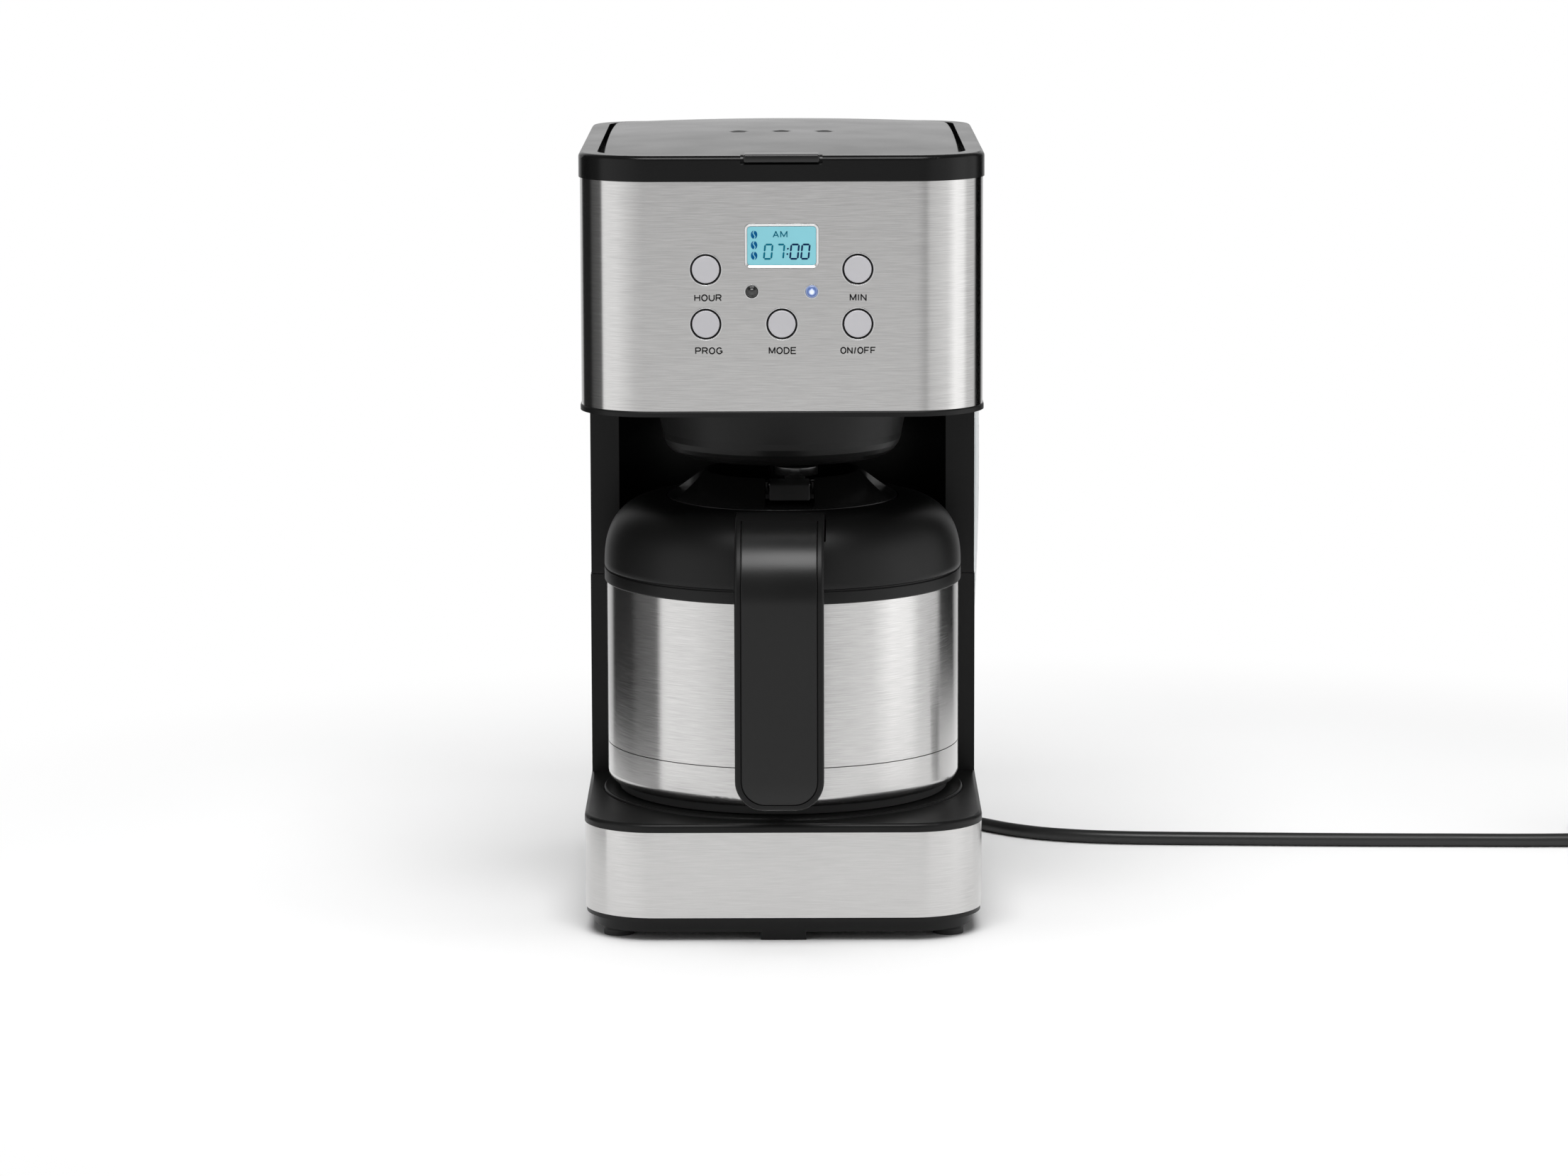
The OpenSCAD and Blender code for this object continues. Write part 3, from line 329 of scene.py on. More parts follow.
def handle_rows(width, end_r, low, d0, d1, round_front, round_back, top_r, steps=5):
    """Cross sections of the handle's band from its top down, d0 to d1 deep under the outer face.

    Its top end runs down into the dome.
    """
    line = []
    bend_at = HANDLE_R - BEND_R
    for i in range(9):
        r = top_r + (bend_at - top_r) * i / 9
        if r < bend_at - 0.5:
            line.append((r, BEND_Z + BEND_R - END_DROP * (1 - i / 9) ** 2, 0, 1))
    for i in range(31):
        q = math.radians(90 - 3 * i)
        at = (bend_at + BEND_R * math.cos(q), BEND_Z + BEND_R * math.sin(q))
        if at[0] >= top_r:
            line.append((*at, math.cos(q), math.sin(q)))
    heights = [end_r * (1 - math.cos(math.radians(90 - 7.5 * i))) for i in range(1, 12)]
    span = BEND_Z - low - end_r
    line += [(HANDLE_R, BEND_Z - span * i / 8, 1, 0) for i in range(1, 9)]
    line += [(HANDLE_R, low + h, 1, 0) for h in heights] + [(HANDLE_R, low, 1, 0)]
    rows = []
    for r, z, out_r, out_z in line:
        rise = z - low
        half = width / 2
        if out_z == 0 and rise < end_r:
            half = width / 2 - end_r + math.sqrt(max(0, end_r ** 2 - (end_r - rise) ** 2))
        pull = 0
        if rise < SOFT_END_R and round_back > 1:
            pull = SOFT_END_R - math.sqrt(max(0, SOFT_END_R ** 2 - (SOFT_END_R - rise) ** 2))
        a, b = d0 + pull, d1 - pull
        section = (arc(-half + round_front, a + round_front, round_front, 180, 270, steps)
                   + arc(half - round_front, a + round_front, round_front, 270, 360, steps)
                   + arc(half - round_back, b - round_back, round_back, 0, 90, steps)
                   + arc(-half + round_back, b - round_back, round_back, 90, 180, steps))
        rows.append([(x, -(r - depth * out_r), z - depth * out_z) for x, depth in section])
    return rows


def handle_shape(*size):
    """Mesh of a band as handle_rows gives it, turned with the jug."""
    mesh = mesh_of(*bridge(handle_rows(*size)))
    mesh.transform(Matrix.Translation((0, JUG_Y, 0)) @ Matrix.Rotation(math.radians(HANDLE_TURN), 4, "Z"))
    return mesh


def make_handle(body_material, inlay_material):
    """Bent handle with round edges and a soft inlay let into its outer face."""
    inlay_w, inlay_end = HANDLE_W - 2 * BORDER, HANDLE_END_R - BORDER
    body = handle_shape(HANDLE_W, HANDLE_END_R, HANDLE_LOW, 0, HANDLE_T, 1.3, 3.5, 57.5)
    pocket = handle_shape(inlay_w, inlay_end, HANDLE_LOW + BORDER, -3, 1.5, 0.1, 0.1, INLAY_TOP_R - 0.2)
    handle = finish_piece("handle_body", cut(body, [pocket]), body_material, "jug", 32)
    inlay = handle_shape(inlay_w - 0.8, inlay_end - 0.4, HANDLE_LOW + BORDER + 0.4, 0.08, 1.45, 0.45, 0.3,
                         INLAY_TOP_R + 0.2)
    pad = finish_piece("handle_pad", inlay, inlay_material, "jug", 40)
    return handle, pad


# ---------------------------------------------------------------- jug's shoulder

def dome_line(wall, steps=40):
    """The dome's outline from its collar up, a wall's thickness under its face."""
    line = []
    for i in range(steps + 1):
        q = math.radians(90 * i / steps)
        line.append((SEAT_R - wall + (COLLAR_R - SEAT_R) * math.cos(q) ** DOME_POWER,
                     DOME_Z + (DOME_H - wall) * math.sin(q) ** DOME_POWER))
    return line


def make_shoulder(material):
    """Domed shoulder with a groove round its collar, a slot for the handle and a pouring beak behind."""
    low, top, neck = DOME_Z - 7, DOME_TOP, NECK_R
    outer = ([(JUG_R - 3.4, low - 6), (JUG_R - 1, low - 6), (JUG_R - 1, low), (COLLAR_R - 0.5, low)]
             + arc(COLLAR_R - 0.6, low + 0.6, 0.6, -90, 0, 4)[1:] + [(COLLAR_R, DOME_Z - 1.9)]
             + arc(COLLAR_R - 0.4, DOME_Z - 1.9, 0.4, 0, 90, 3)[1:]
             + [(COLLAR_R - 0.9, DOME_Z - 1.4), (COLLAR_R - 0.9, DOME_Z - 0.8),
                (COLLAR_R - 0.4, DOME_Z - 0.6)])
    inner = [(SEAT_R, top - 2.2), (neck, top - 2.2), (neck, DOME_Z + 13.2), (neck + 0.1, DOME_Z + 13.2),
             (neck + 0.1, top - 5.9), (neck + 2.3, top - 5.9), (neck + 2.3, top - 4.6),
             (SEAT_R - 3, top - 3.1)]
    profile = outer + dome_line(0) + inner + dome_line(3)[::-1]
    shell = turned_mesh(profile, (0, AXIS), 180)
    slot = handle_shape(HANDLE_W + 1.3, 1, HANDLE_LOW, -2, HANDLE_T + 0.2, 0.3, 0.3, 57)
    shell = cut(shell, [slot])
    root = 55
    side = [(12, root), (7, 79.4), (5.4, 81.6), (3, 82.5)]
    outline = [(-x, y) for x, y in side] + side[::-1]
    rows = [[(x * k, AXIS + root + (y - root) * k, z) for x, y in outline]
            for z, k in ((top - 8, 1), (top + 0.6, 1), (top + 1.1, 0.96))]
    groove = soft_box((-5, AXIS + root - 5, top - 5), (5, AXIS + 81, top + 5), 0.5)
    beak = cut(mesh_of(*bridge(rows)), [groove])
    return finish_piece("shoulder_dome", joined([shell, beak]), material, "jug", 40)


# ---------------------------------------------------------------- jug's lid and its lever

def make_jug_lid(material):
    """Conical stopper with two scooped grips, a round well in its top and a slot for the lever."""
    top, plug = DOME_TOP, NECK_R - 0.4
    profile = ([(0, top - 3), (plug - 4.4, top - 3), (plug - 4.4, top - 16), (plug, top - 16),
                (plug, top - 13.3), (plug - 2.45, top - 13.3), (plug - 2.45, top - 10.7), (plug, top - 10.7),
                (plug, top - 1.9), (53.4, top - 1.9), (53.6, top - 1.7)]
               + arc(52.8, top - 0.3, 0.8, 0, 55, 4) + arc(35.6, top + 11.4, 0.8, 55, 140, 6)
               + [(30.8, top + 5.4), (30.2, top + 5), (0, top + 5)])
    grip = [(0, top + 1.3), (20, top + 1.3), (20, top + 20), (0, top + 20)]
    grips = [turned_mesh(grip, (side * 56.5, AXIS), 96) for side in (-1, 1)]
    drain = [(0, top - 4), (2.2, top - 4), (2.2, top + 6), (0, top + 6)]
    drains = [turned_mesh(drain, (12 * c, AXIS + 12 * s), 24) for c, s in circle(6)]
    slots = [soft_box((LEVER_X[0] - 2.2, AXIS - 60, top + 1.2), (LEVER_X[1] + 2.2, AXIS - 27, top + 30), 0.6),
             soft_box((-6, AXIS + 28, top + 3), (6, AXIS + 60, top + 30), 0.8)]
    cone = cut(turned_mesh(profile, (0, AXIS), 180), grips + drains + slots)
    ears = [soft_box((x, AXIS - 28, top + 4), (x + 2.4, AXIS - 22, top + 10), 0.6)
            for x in (LEVER_X[0] - 2.7, LEVER_X[1] + 0.3)]
    return finish_piece("jug_stopper", joined([cone] + ears), material, "jug_cover", 38)


def make_lever(pad_material, cap_material):
    """Thumb lever: a pad in front on its pin, an arm over the well and a round glossy cap at its end."""
    top = DOME_TOP
    outline = [(-47.2, 3.8), (-40.6, 10), (-21, 10.3), (-21, 6.4), (-34, 6.4), (-45, 3.6)]
    pin_y, pin_z = LEVER_PIN
    hole = [(pin_y + LEVER_PIN_R * c, pin_z + LEVER_PIN_R * s) for c, s in circle(24)]
    ends = (LEVER_X[0] - 1, LEVER_X[1] + 1)
    bore = mesh_of(*bridge([[(x, AXIS + y, top + z) for y, z in hole] for x in ends]))
    pad = cut(prism_x([(AXIS + y, top + z) for y, z in outline], *LEVER_X, 0.5), [bore])
    arm = soft_box((1, AXIS - 22, top + 7.2), (LEVER_X[1] - 2, AXIS + 2, top + 9.8), 0.4)
    rocker = finish_piece("lever_rocker", joined([pad, arm]), pad_material, "pour_rocker", 40)
    profile = ([(0, top + 9.6), (9.7, top + 9.6)] + arc(9.8, top + 10, 0.4, -90, 0, 4)
               + arc(9.7, top + 13.4, 0.5, 0, 90, 6)
               + [(8.6, top + 13.9), (8.2, top + 13.6), (0, top + 13.5)])
    disc = turned_mesh(profile, (LEVER_CAP_X, AXIS), 96)
    cap = finish_piece("lever_cap", disc, cap_material, "pour_rocker", 40)
    return rocker, cap


# ---------------------------------------------------------------- drip stop

def make_spring(material):
    """Drip stop's spring, a coil as tall and wide as the CAD spring. On the machine its foot goes up with the
    valve while its top stays, so it gets shorter; this coil stays as it is.
    """
    low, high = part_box("drip_spring")
    wire, turns, steps = 0.45, 3, 36
    coil_r = (high.x - low.x) / MM / 2 - wire
    foot, rise = low.z / MM + wire, (high.z - low.z) / MM - 2 * wire
    section = [(coil_r + wire * c, wire * s) for c, s in circle(10)]
    rows = []
    for i in range(turns * steps + 1):
        turn = 2 * math.pi * i / steps
        z = foot + rise * i / (turns * steps)
        rows.append([(r * math.cos(turn), AXIS + r * math.sin(turn), z + up) for r, up in section])
    spring = finish_piece("stop_spring", mesh_of(*bridge(rows)), material, None, 60)
    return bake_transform(spring)


# ---------------------------------------------------------------- display frame and control rims

def rounded_outline(half_x, half_z, r, steps=8):
    """Points round a rectangle with round corners, anticlockwise seen from the front."""
    x, z = half_x - r, half_z - r
    corners = ((x, -z, 270), (x, z, 0), (-x, z, 90), (-x, -z, 180))
    return [p for x, z, start in corners for p in arc(x, z, r, start, start + 90, steps)]


def make_display_frame(material):
    """Polished frame whose inner faces slope in to the display."""
    at_x, at_z = DISPLAY_AT
    sizes = [(16.5, 9.9, 2.5, 3.8), (16.5, 9.9, 2.5, -0.33), (16.42, 9.82, 2.44, -0.4),
             (16.3, 9.7, 2.35, -0.4), (15.5, 8.8, 1.6, 0.06), (15.45, 8.7, 1.5, 3.8)]
    rows = [[(at_x + x, PANEL_FACE + depth, at_z + z) for x, z in rounded_outline(half_x, half_z, r)]
            for half_x, half_z, r, depth in sizes]
    verts, faces = bridge(rows + rows[:1], False, False)
    return finish_piece("display_frame", mesh_of(verts, faces), material, "machine", 24)


def make_rims(material):
    """Polished ring round each button and lamp, rounded over its face."""
    section = [(0, 1.8), (0, -0.16), (0.08, -0.25), (0.2, -0.29), (0.36, -0.29), (0.47, -0.24),
               (0.5, -0.14), (0.5, 0.02), (0.12, 0.02), (0.12, 1.8)]
    facing = Matrix.Rotation(math.radians(-90), 4, "X")
    meshes = []
    for places, bore in ((BUTTON_PLACES, BUTTON_BORE), (LAMP_PLACES, LAMP_BORE)):
        for x, z in places:
            ring = turned_mesh([(bore + r, depth) for r, depth in section], (0, 0), 96)
            ring.transform(Matrix.Translation(Vector((x, PANEL_FACE, PANEL_FOOT + z)) * MM) @ facing)
            meshes.append(ring)
    return finish_piece("polished_rims", joined(meshes), material, "machine", 40)


# ---------------------------------------------------------------- marks on the panel

def oval(start, end, cx=0.5, cy=0.5, rx=0.5, ry=0.5, steps=14):
    """Points on an oval, with the angles in degrees."""
    angles = [math.radians(start + (end - start) * i / steps) for i in range(steps + 1)]
    return [(cx + rx * math.cos(a), cy + ry * math.sin(a)) for a in angles]


# Strokes of the capitals and figures used, on a cell 1 wide and 1 high
STROKES = {
    "A": [[(0, 0), (0.5, 1), (1, 0)], [(0.2, 0.32), (0.8, 0.32)]],
    "D": [[(0, 0), (0, 1)] + oval(90, -90, 0.42, 0.5, 0.58, 0.5) + [(0, 0)]],
    "E": [[(1, 0), (0, 0), (0, 1), (1, 1)], [(0, 0.52), (0.9, 0.52)]],
    "F": [[(0, 0), (0, 1), (1, 1)], [(0, 0.5), (0.85, 0.5)]],
    "G": [oval(38, 320) + [(0.98, 0.2), (0.98, 0.46), (0.58, 0.46)]],
    "H": [[(0, 0), (0, 1)], [(1, 0), (1, 1)], [(0, 0.52), (1, 0.52)]],
    "I": [[(0.5, 0), (0.5, 1)]],
    "M": [[(0, 0), (0, 1), (0.5, 0.12), (1, 1), (1, 0)]],
    "N": [[(0, 0), (0, 1), (1, 0), (1, 1)]],
    "O": [oval(0, 360, steps=24)],
    "P": [[(0, 0), (0, 1), (0.6, 1)] + oval(90, -90, 0.65, 0.73, 0.35, 0.27, 8) + [(0, 0.46)]],
    "R": [[(0, 0), (0, 1), (0.6, 1)] + oval(90, -90, 0.63, 0.74, 0.34, 0.26, 8) + [(0, 0.48)],
          [(0.6, 0.48), (1, 0)]],
    "U": [[(0, 1), (0, 0.36)] + oval(180, 360, 0.5, 0.36, 0.5, 0.36, 10) + [(1, 1)]],
    "/": [[(0.2, -0.05), (0.8, 1.05)]],
    "2": [[(0.03, 0.78), (0.2, 0.96), (0.5, 1), (0.85, 0.92), (0.95, 0.7), (0.75, 0.42), (0, 0), (1, 0)]],
    "4": [[(0.75, 0), (0.75, 1), (0, 0.3), (1, 0.3)]],
    "6": [[(0.85, 0.95), (0.5, 1), (0.12, 0.75), (0, 0.35), (0.15, 0.06), (0.5, 0), (0.88, 0.08), (1, 0.32),
           (0.85, 0.56), (0.5, 0.62), (0.08, 0.45)]],
    "8": [[(0.5, 0.54), (0.12, 0.66), (0.08, 0.86), (0.5, 1), (0.92, 0.86), (0.88, 0.66), (0.5, 0.54),
           (0.06, 0.4), (0.04, 0.12), (0.5, 0), (0.96, 0.12), (0.94, 0.4), (0.5, 0.54)]],
}
WIDTHS = {"I": 0.25, "/": 0.45, "M": 1.15, "O": 1.1, "G": 1.1}
LETTER_H, LETTER_GAP = 3.2, 0.42


def letters(text, x, z, width, height, face_y, weight=0.56):
    """Bold sans lettering as flat strokes on the panel, fitted to a width and height in millimetres."""
    half = weight * height / LETTER_H / 2
    gaps = LETTER_GAP * (len(text) - 1)
    cell = (width - 2 * half) / (sum(WIDTHS.get(mark, 1) for mark in text) + gaps)
    left, foot = x - width / 2 + half, z - height / 2 + half
    verts, faces = [], []
    for mark in text:
        span = WIDTHS.get(mark, 1) * cell
        for line in STROKES[mark]:
            points = [Vector((left + u * span, foot + v * (height - 2 * half))) for u, v in line]
            for a, b in zip(points, points[1:]):
                along = (b - a).normalized() * half
                side = Vector((-along.y, along.x))
                faces.append(tuple(range(len(verts), len(verts) + 4)))
                verts += [(p.x, face_y, p.y) for p in (a - side, b - side, b + side, a + side)]
            for p in points[1:-1]:
                faces.append(tuple(range(len(verts), len(verts) + 12)))
                verts += [(p.x + half * c, face_y, p.y + half * s) for c, s in circle(12)]
        left += span + LETTER_GAP * cell
    mesh = bpy.data.meshes.new("letters")
    mesh.from_pydata([tuple(Vector(v) * MM) for v in verts], [], faces)
    return mesh


ZERO = ["top", "bottom", "upper_left", "upper_right", "lower_left", "lower_right"]
SEVEN = ["top", "upper_right", "lower_right"]
DIGIT_Z, DIGIT_LEAN = (-5.8, 0.6), 0.1


def stroke(x0, z0, x1, z1, t):
    """One pointed bar of a seven-bar digit."""
    along = Vector((x1 - x0, z1 - z0)).normalized()
    side = Vector((-along.y, along.x)) * t / 2
    a, b = Vector((x0, z0)) + along * 0.1, Vector((x1, z1)) - along * 0.1
    tip = along * t / 2
    return [a, a + tip + side, b - tip + side, b, b - tip - side, a + tip - side]


def flat_marks(outlines, face_y, lean=0.0, base=(0, 0)):
    """Mesh of flat (x, z) outlines at a depth, leaning to the right by a share of their height."""
    verts, faces = [], []
    for outline in outlines:
        faces.append(tuple(range(len(verts), len(verts) + len(outline))))
        verts += [(base[0] + p[0] + lean * p[1], face_y, base[1] + p[1]) for p in outline]
    return mesh_of(verts, faces)


def digit(bars, x0, x1):
    """Some of a digit's bars, between its left and its right side."""
    low, high = DIGIT_Z
    mid = (low + high) / 2
    places = {"top": (x0, high, x1, high), "bottom": (x0, low, x1, low),
              "upper_left": (x0, mid, x0, high), "upper_right": (x1, mid, x1, high),
              "lower_left": (x0, low, x0, mid), "lower_right": (x1, low, x1, mid)}
    return [stroke(*places[bar], 0.8) for bar in bars]


def bean(x, z):
    """Coffee bean sign: an oval split by an S-shaped line."""
    halves = []
    for side in (-1, 1):
        rim = [(x + side * 1.45 * math.cos(a), z + 1.85 * math.sin(a))
               for a in (math.radians(-80 + 160 * i / 14) for i in range(15))]
        seam = [(x + side * 0.24 - 0.42 * math.sin(math.pi * u), z + 1.7 * u)
                for u in (1 - 2 * i / 12 for i in range(13))]
        halves.append(rim + seam)
    return halves


def make_display():
    """What the clock display shows: 07:00, AM and three beans."""
    face = PANEL_FACE + 0.05
    hours = digit(ZERO, -7.4, -4.1) + digit(SEVEN, -1.8, 1.2)
    minutes = digit(ZERO, 4.3, 7.7) + digit(ZERO, 9.2, 12.5)
    dots = [[(2.9 + 0.42 * c, z + 0.42 * s) for c, s in circle(12)] for z in (-1.3, -3.7)]
    signs = [half for z in (5.0, 0.3, -4.4) for half in bean(-12.3, z)]
    teal = joined([flat_marks(hours, face, DIGIT_LEAN, DISPLAY_AT),
                   letters("AM", DISPLAY_AT[0] - 0.7, DISPLAY_AT[1] + 5.15, 6.6, 3.0, face, 0.5)])
    navy = flat_marks(minutes + dots, face, DIGIT_LEAN, DISPLAY_AT)
    beans = flat_marks(signs, face, 0, DISPLAY_AT)
    for name, mesh, colour in (("display_marks_light", teal, "display_teal"),
                               ("display_marks_dark", navy, "display_navy"),
                               ("display_beans", beans, "display_blue")):
        finish_piece(name, mesh, MATERIALS[colour], "machine")


def make_gauge_marks():
    """Level marks and cup numbers on the water gauge's face."""
    meshes = []
    for step, text in enumerate(("", "2", "", "4", "", "6", "", "8", "")):
        z = GAUGE_FOOT_Z + GAUGE_STEP * step
        x = GAUGE_X - (z - GAUGE_PEAK_Z) ** 2 / (2 * GAUGE_R) + 0.05
        if text:
            meshes.append(letters(text, 86, z, 2.2, LETTER_H, -x, 0.45))
        meshes.append(flat_marks([[(88.6, z - 0.3), (92, z - 0.3), (92, z + 0.3), (88.6, z + 0.3)]], -x))
    mesh = joined(meshes)
    mesh.transform(Matrix.Rotation(math.radians(90), 4, "Z"))
    finish_piece("gauge_marks", mesh, MATERIALS["print_black"], "machine")


def make_lettering():
    """The words under the buttons."""
    face = PANEL_FACE - 0.04
    high, low = PANEL_FOOT + 51.1, PANEL_FOOT + 27.3
    words = [("HOUR", -33, high, 12.3), ("MIN", 34.1, high, 7.6), ("PROG", -32.7, low, 12.3),
             ("MODE", 0.3, low, 12.5), ("ON/OFF", 34.1, low, 16)]
    mesh = joined([letters(text, x, z, width, LETTER_H, face) for text, x, z, width in words])
    finish_piece("panel_lettering", mesh, MATERIALS["print_black"], "machine")


# ---------------------------------------------------------------- cord

# Metres for the sheath and the coil, millimetres for the route
CORD_D = 0.0064
COIL_AT, COIL_R, COIL_TURNS = (0.432, 0.138), 0.035, 2.25
ROUTE = [
    (0, 160, 22), (0, 167, 21.8), (1, 176, 20), (5, 186, 16.5), (13, 195, 12), (24, 200, 8),
    (36, 200, 5), (47, 195, 3.6), (57, 187, 3.3), (68, 176, 3.3), (84, 162, 3.3), (99, 148, 3.3),
    (112, 135, 3.3), (128, 124, 3.3), (147, 117, 3.3), (168, 113, 3.3), (191, 111, 3.3),
    (225, 109, 3.3), (260, 107, 3.3), (295, 105.5, 3.3), (330, 104.5, 3.3), (365, 103.5, 3.3),
    (400, 103, 3.6), (432, 103, 4),
]


def catmull(points, parts):
    """Smooth line through the points, with that many parts to each stretch."""
    ends = [2 * points[0] - points[1]] + points + [2 * points[-1] - points[-2]]
    line = []
    for a, b, c, d in zip(ends, ends[1:], ends[2:], ends[3:]):
        for i in range(parts):
            t = i / parts
            line.append(0.5 * (2 * b + (c - a) * t + (2 * a - 5 * b + 4 * c - d) * t * t
                               + (3 * b - a - 3 * c + d) * t ** 3))
    return line + [points[-1]]


def coil_points():
    """The coil's turns, rising evenly on each other."""
    low, high, steps = 0.004, 0.019, 81
    points = []
    for i in range(1, steps + 1):
        share = i / steps
        angle = -math.pi / 2 + 2 * math.pi * COIL_TURNS * share
        points.append(Vector((COIL_AT[0] + COIL_R * math.cos(angle), COIL_AT[1] + COIL_R * math.sin(angle),
                              low + (high - low) * share)))
    return points


def make_cord(material):
    """The mains lead at its real length, from the gland along the floor into its coil and the plug."""
    laid = catmull([Vector(p) * MM for p in ROUTE], 4)
    line = laid + coil_points()
    line.append(line[-1] + Vector((0, 0.010, 0)))
    curve = bpy.data.curves.new("mains_lead", "CURVE")
    curve.dimensions = "3D"
    curve.bevel_depth = CORD_D / 2
    curve.bevel_resolution = 6
    curve.use_fill_caps = True
    spline = curve.splines.new("POLY")
    spline.points.add(len(line) - 1)
    for point, at in zip(spline.points, line):
        point.co = (*at, 1)
    spline.use_smooth = True
    lead = bpy.data.objects.new("mains_lead", curve)
    bpy.context.scene.collection.objects.link(lead)
    curve.materials.append(material)
    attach(lead, "machine")
    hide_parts("power_cord", "cord_coil")


# ---------------------------------------------------------------- materials

def new_material(name):
    """A material with its nodes, its links and its shader."""
    material = bpy.data.materials.new(name)
    material.use_nodes = True
    nodes = material.node_tree.nodes
    shader = nodes["Principled BSDF"]
    return material, nodes, material.node_tree.links, shader


def noise_at(nodes, links, scale, detail=2.0):
    """Noise on the object's own coordinates, stretched by a scale for each axis."""
    place = nodes.new("ShaderNodeTexCoord")
    stretch = nodes.new("ShaderNodeMapping")
    stretch.inputs["Scale"].default_value = scale
    noise = nodes.new("ShaderNodeTexNoise")
    noise.inputs["Scale"].default_value = 1.0
    noise.inputs["Detail"].default_value = detail
    noise.inputs["Roughness"].default_value = 0.5
    links.new(place.outputs["Object"], stretch.inputs["Vector"])
    links.new(stretch.outputs["Vector"], noise.inputs["Vector"])
    return noise.outputs["Fac"]


def vector_step(nodes, links, value, operation, by=None):
    """Node of one step of vector arithmetic."""
    node = nodes.new("ShaderNodeVectorMath")
    node.operation = operation
    if by is not None:
        node.inputs[1].default_value = by
    links.new(value, node.inputs[0])
    return node


def spread(nodes, links, value, low, high, start=0.3, end=0.7):
    """A number between low and high that follows another between start and end."""
    scale = nodes.new("ShaderNodeMapRange")
    scale.inputs["From Min"].default_value = start
    scale.inputs["From Max"].default_value = end
    scale.inputs["To Min"].default_value = low
    scale.inputs["To Max"].default_value = high
    links.new(value, scale.inputs["Value"])
    return scale.outputs["Result"]


def ramp(nodes, links, value, stops):
    """A colour that follows a number through (position, colour) stops."""
    node = nodes.new("ShaderNodeValToRGB")
    points = node.color_ramp.elements
    while len(points) < len(stops):
        points.new(0.5)
    for point, (position, colour) in zip(points, stops):
        point.position = position
        point.color = (*colour, 1)
    links.new(value, node.inputs["Fac"])
    return node.outputs["Color"]


def tint(nodes, links, value, dark, light):
    """A colour between two that follows a noise."""
    return ramp(nodes, links, value, [(0.3, dark), (0.7, light)])


def bump(nodes, links, shader, value, distance, strength):
    """Surface relief of that depth in metres, following a noise."""
    node = nodes.new("ShaderNodeBump")
    node.inputs["Strength"].default_value = strength
    node.inputs["Distance"].default_value = distance
    links.new(value, node.inputs["Height"])
    links.new(node.outputs["Normal"], shader.inputs["Normal"])


FINE_GRAIN = 0.00003
COARSE_GRAIN = 0.0001


def brushed_steel(name, dark, light, rough=(0.16, 0.21), grain=(110, 110, 7000)):
    """Steel brushed along its length, so that its grain and its reflections run round the object."""
    material, nodes, links, shader = new_material(name)
    shader.inputs["Metallic"].default_value = 1.0
    shader.inputs["Anisotropic"].default_value = 0.85
    shader.inputs["Anisotropic Rotation"].default_value = 0.25
    fine = noise_at(nodes, links, grain)
    links.new(tint(nodes, links, fine, dark, light), shader.inputs["Base Color"])
    links.new(spread(nodes, links, fine, *rough), shader.inputs["Roughness"])
    tangent = nodes.new("ShaderNodeTangent")
    tangent.direction_type = "RADIAL"
    tangent.axis = "Z"
    links.new(tangent.outputs["Tangent"], shader.inputs["Tangent"])
    bump(nodes, links, shader, fine, 0.000012, 0.3)
    return material


def moulded_plastic(name, dark, light, rough=(0.42, 0.52), grain=2600, depth=FINE_GRAIN, coat=0.0, gloss=0.5):
    """Plastic with a fine spark-eroded grain, and a faint unevenness in its sheen."""
    material, nodes, links, shader = new_material(name)
    fine = noise_at(nodes, links, (grain, grain, grain))
    broad = noise_at(nodes, links, (22, 22, 22), 3.0)
    links.new(tint(nodes, links, broad, dark, light), shader.inputs["Base Color"])
    links.new(spread(nodes, links, broad, *rough), shader.inputs["Roughness"])
    shader.inputs["Specular IOR Level"].default_value = gloss
    shader.inputs["Coat Weight"].default_value = coat
    shader.inputs["Coat Roughness"].default_value = 0.25
    bump(nodes, links, shader, fine, depth, 0.5)
    return material


def clear_plastic(name, colour, rough, alpha):
    """See-through moulding, tinted by its colour."""
    material, nodes, links, shader = new_material(name)
    broad = noise_at(nodes, links, (30, 30, 30))
    shader.inputs["Base Color"].default_value = (*colour, 1)
    links.new(spread(nodes, links, broad, rough * 0.8, rough * 1.2), shader.inputs["Roughness"])
    shader.inputs["Alpha"].default_value = alpha
    return material


def glowing(name, colour, strength):
    """Display glass lit from behind."""
    material, nodes, links, shader = new_material(name)
    broad = noise_at(nodes, links, (60, 60, 60))
    links.new(tint(nodes, links, broad, [c * 0.96 for c in colour], colour), shader.inputs["Base Color"])
    shader.inputs["Emission Color"].default_value = (*colour, 1)
    shader.inputs["Emission Strength"].default_value = strength
    shader.inputs["Roughness"].default_value = 0.12
    return material


def polished_metal(name, dark, light, rough):
    """Plated metal with a faint unevenness."""
    material, nodes, links, shader = new_material(name)
    broad = noise_at(nodes, links, (160, 160, 160))
    shader.inputs["Metallic"].default_value = 1.0
    links.new(tint(nodes, links, broad, dark, light), shader.inputs["Base Color"])
    links.new(spread(nodes, links, broad, *rough), shader.inputs["Roughness"])
    return material


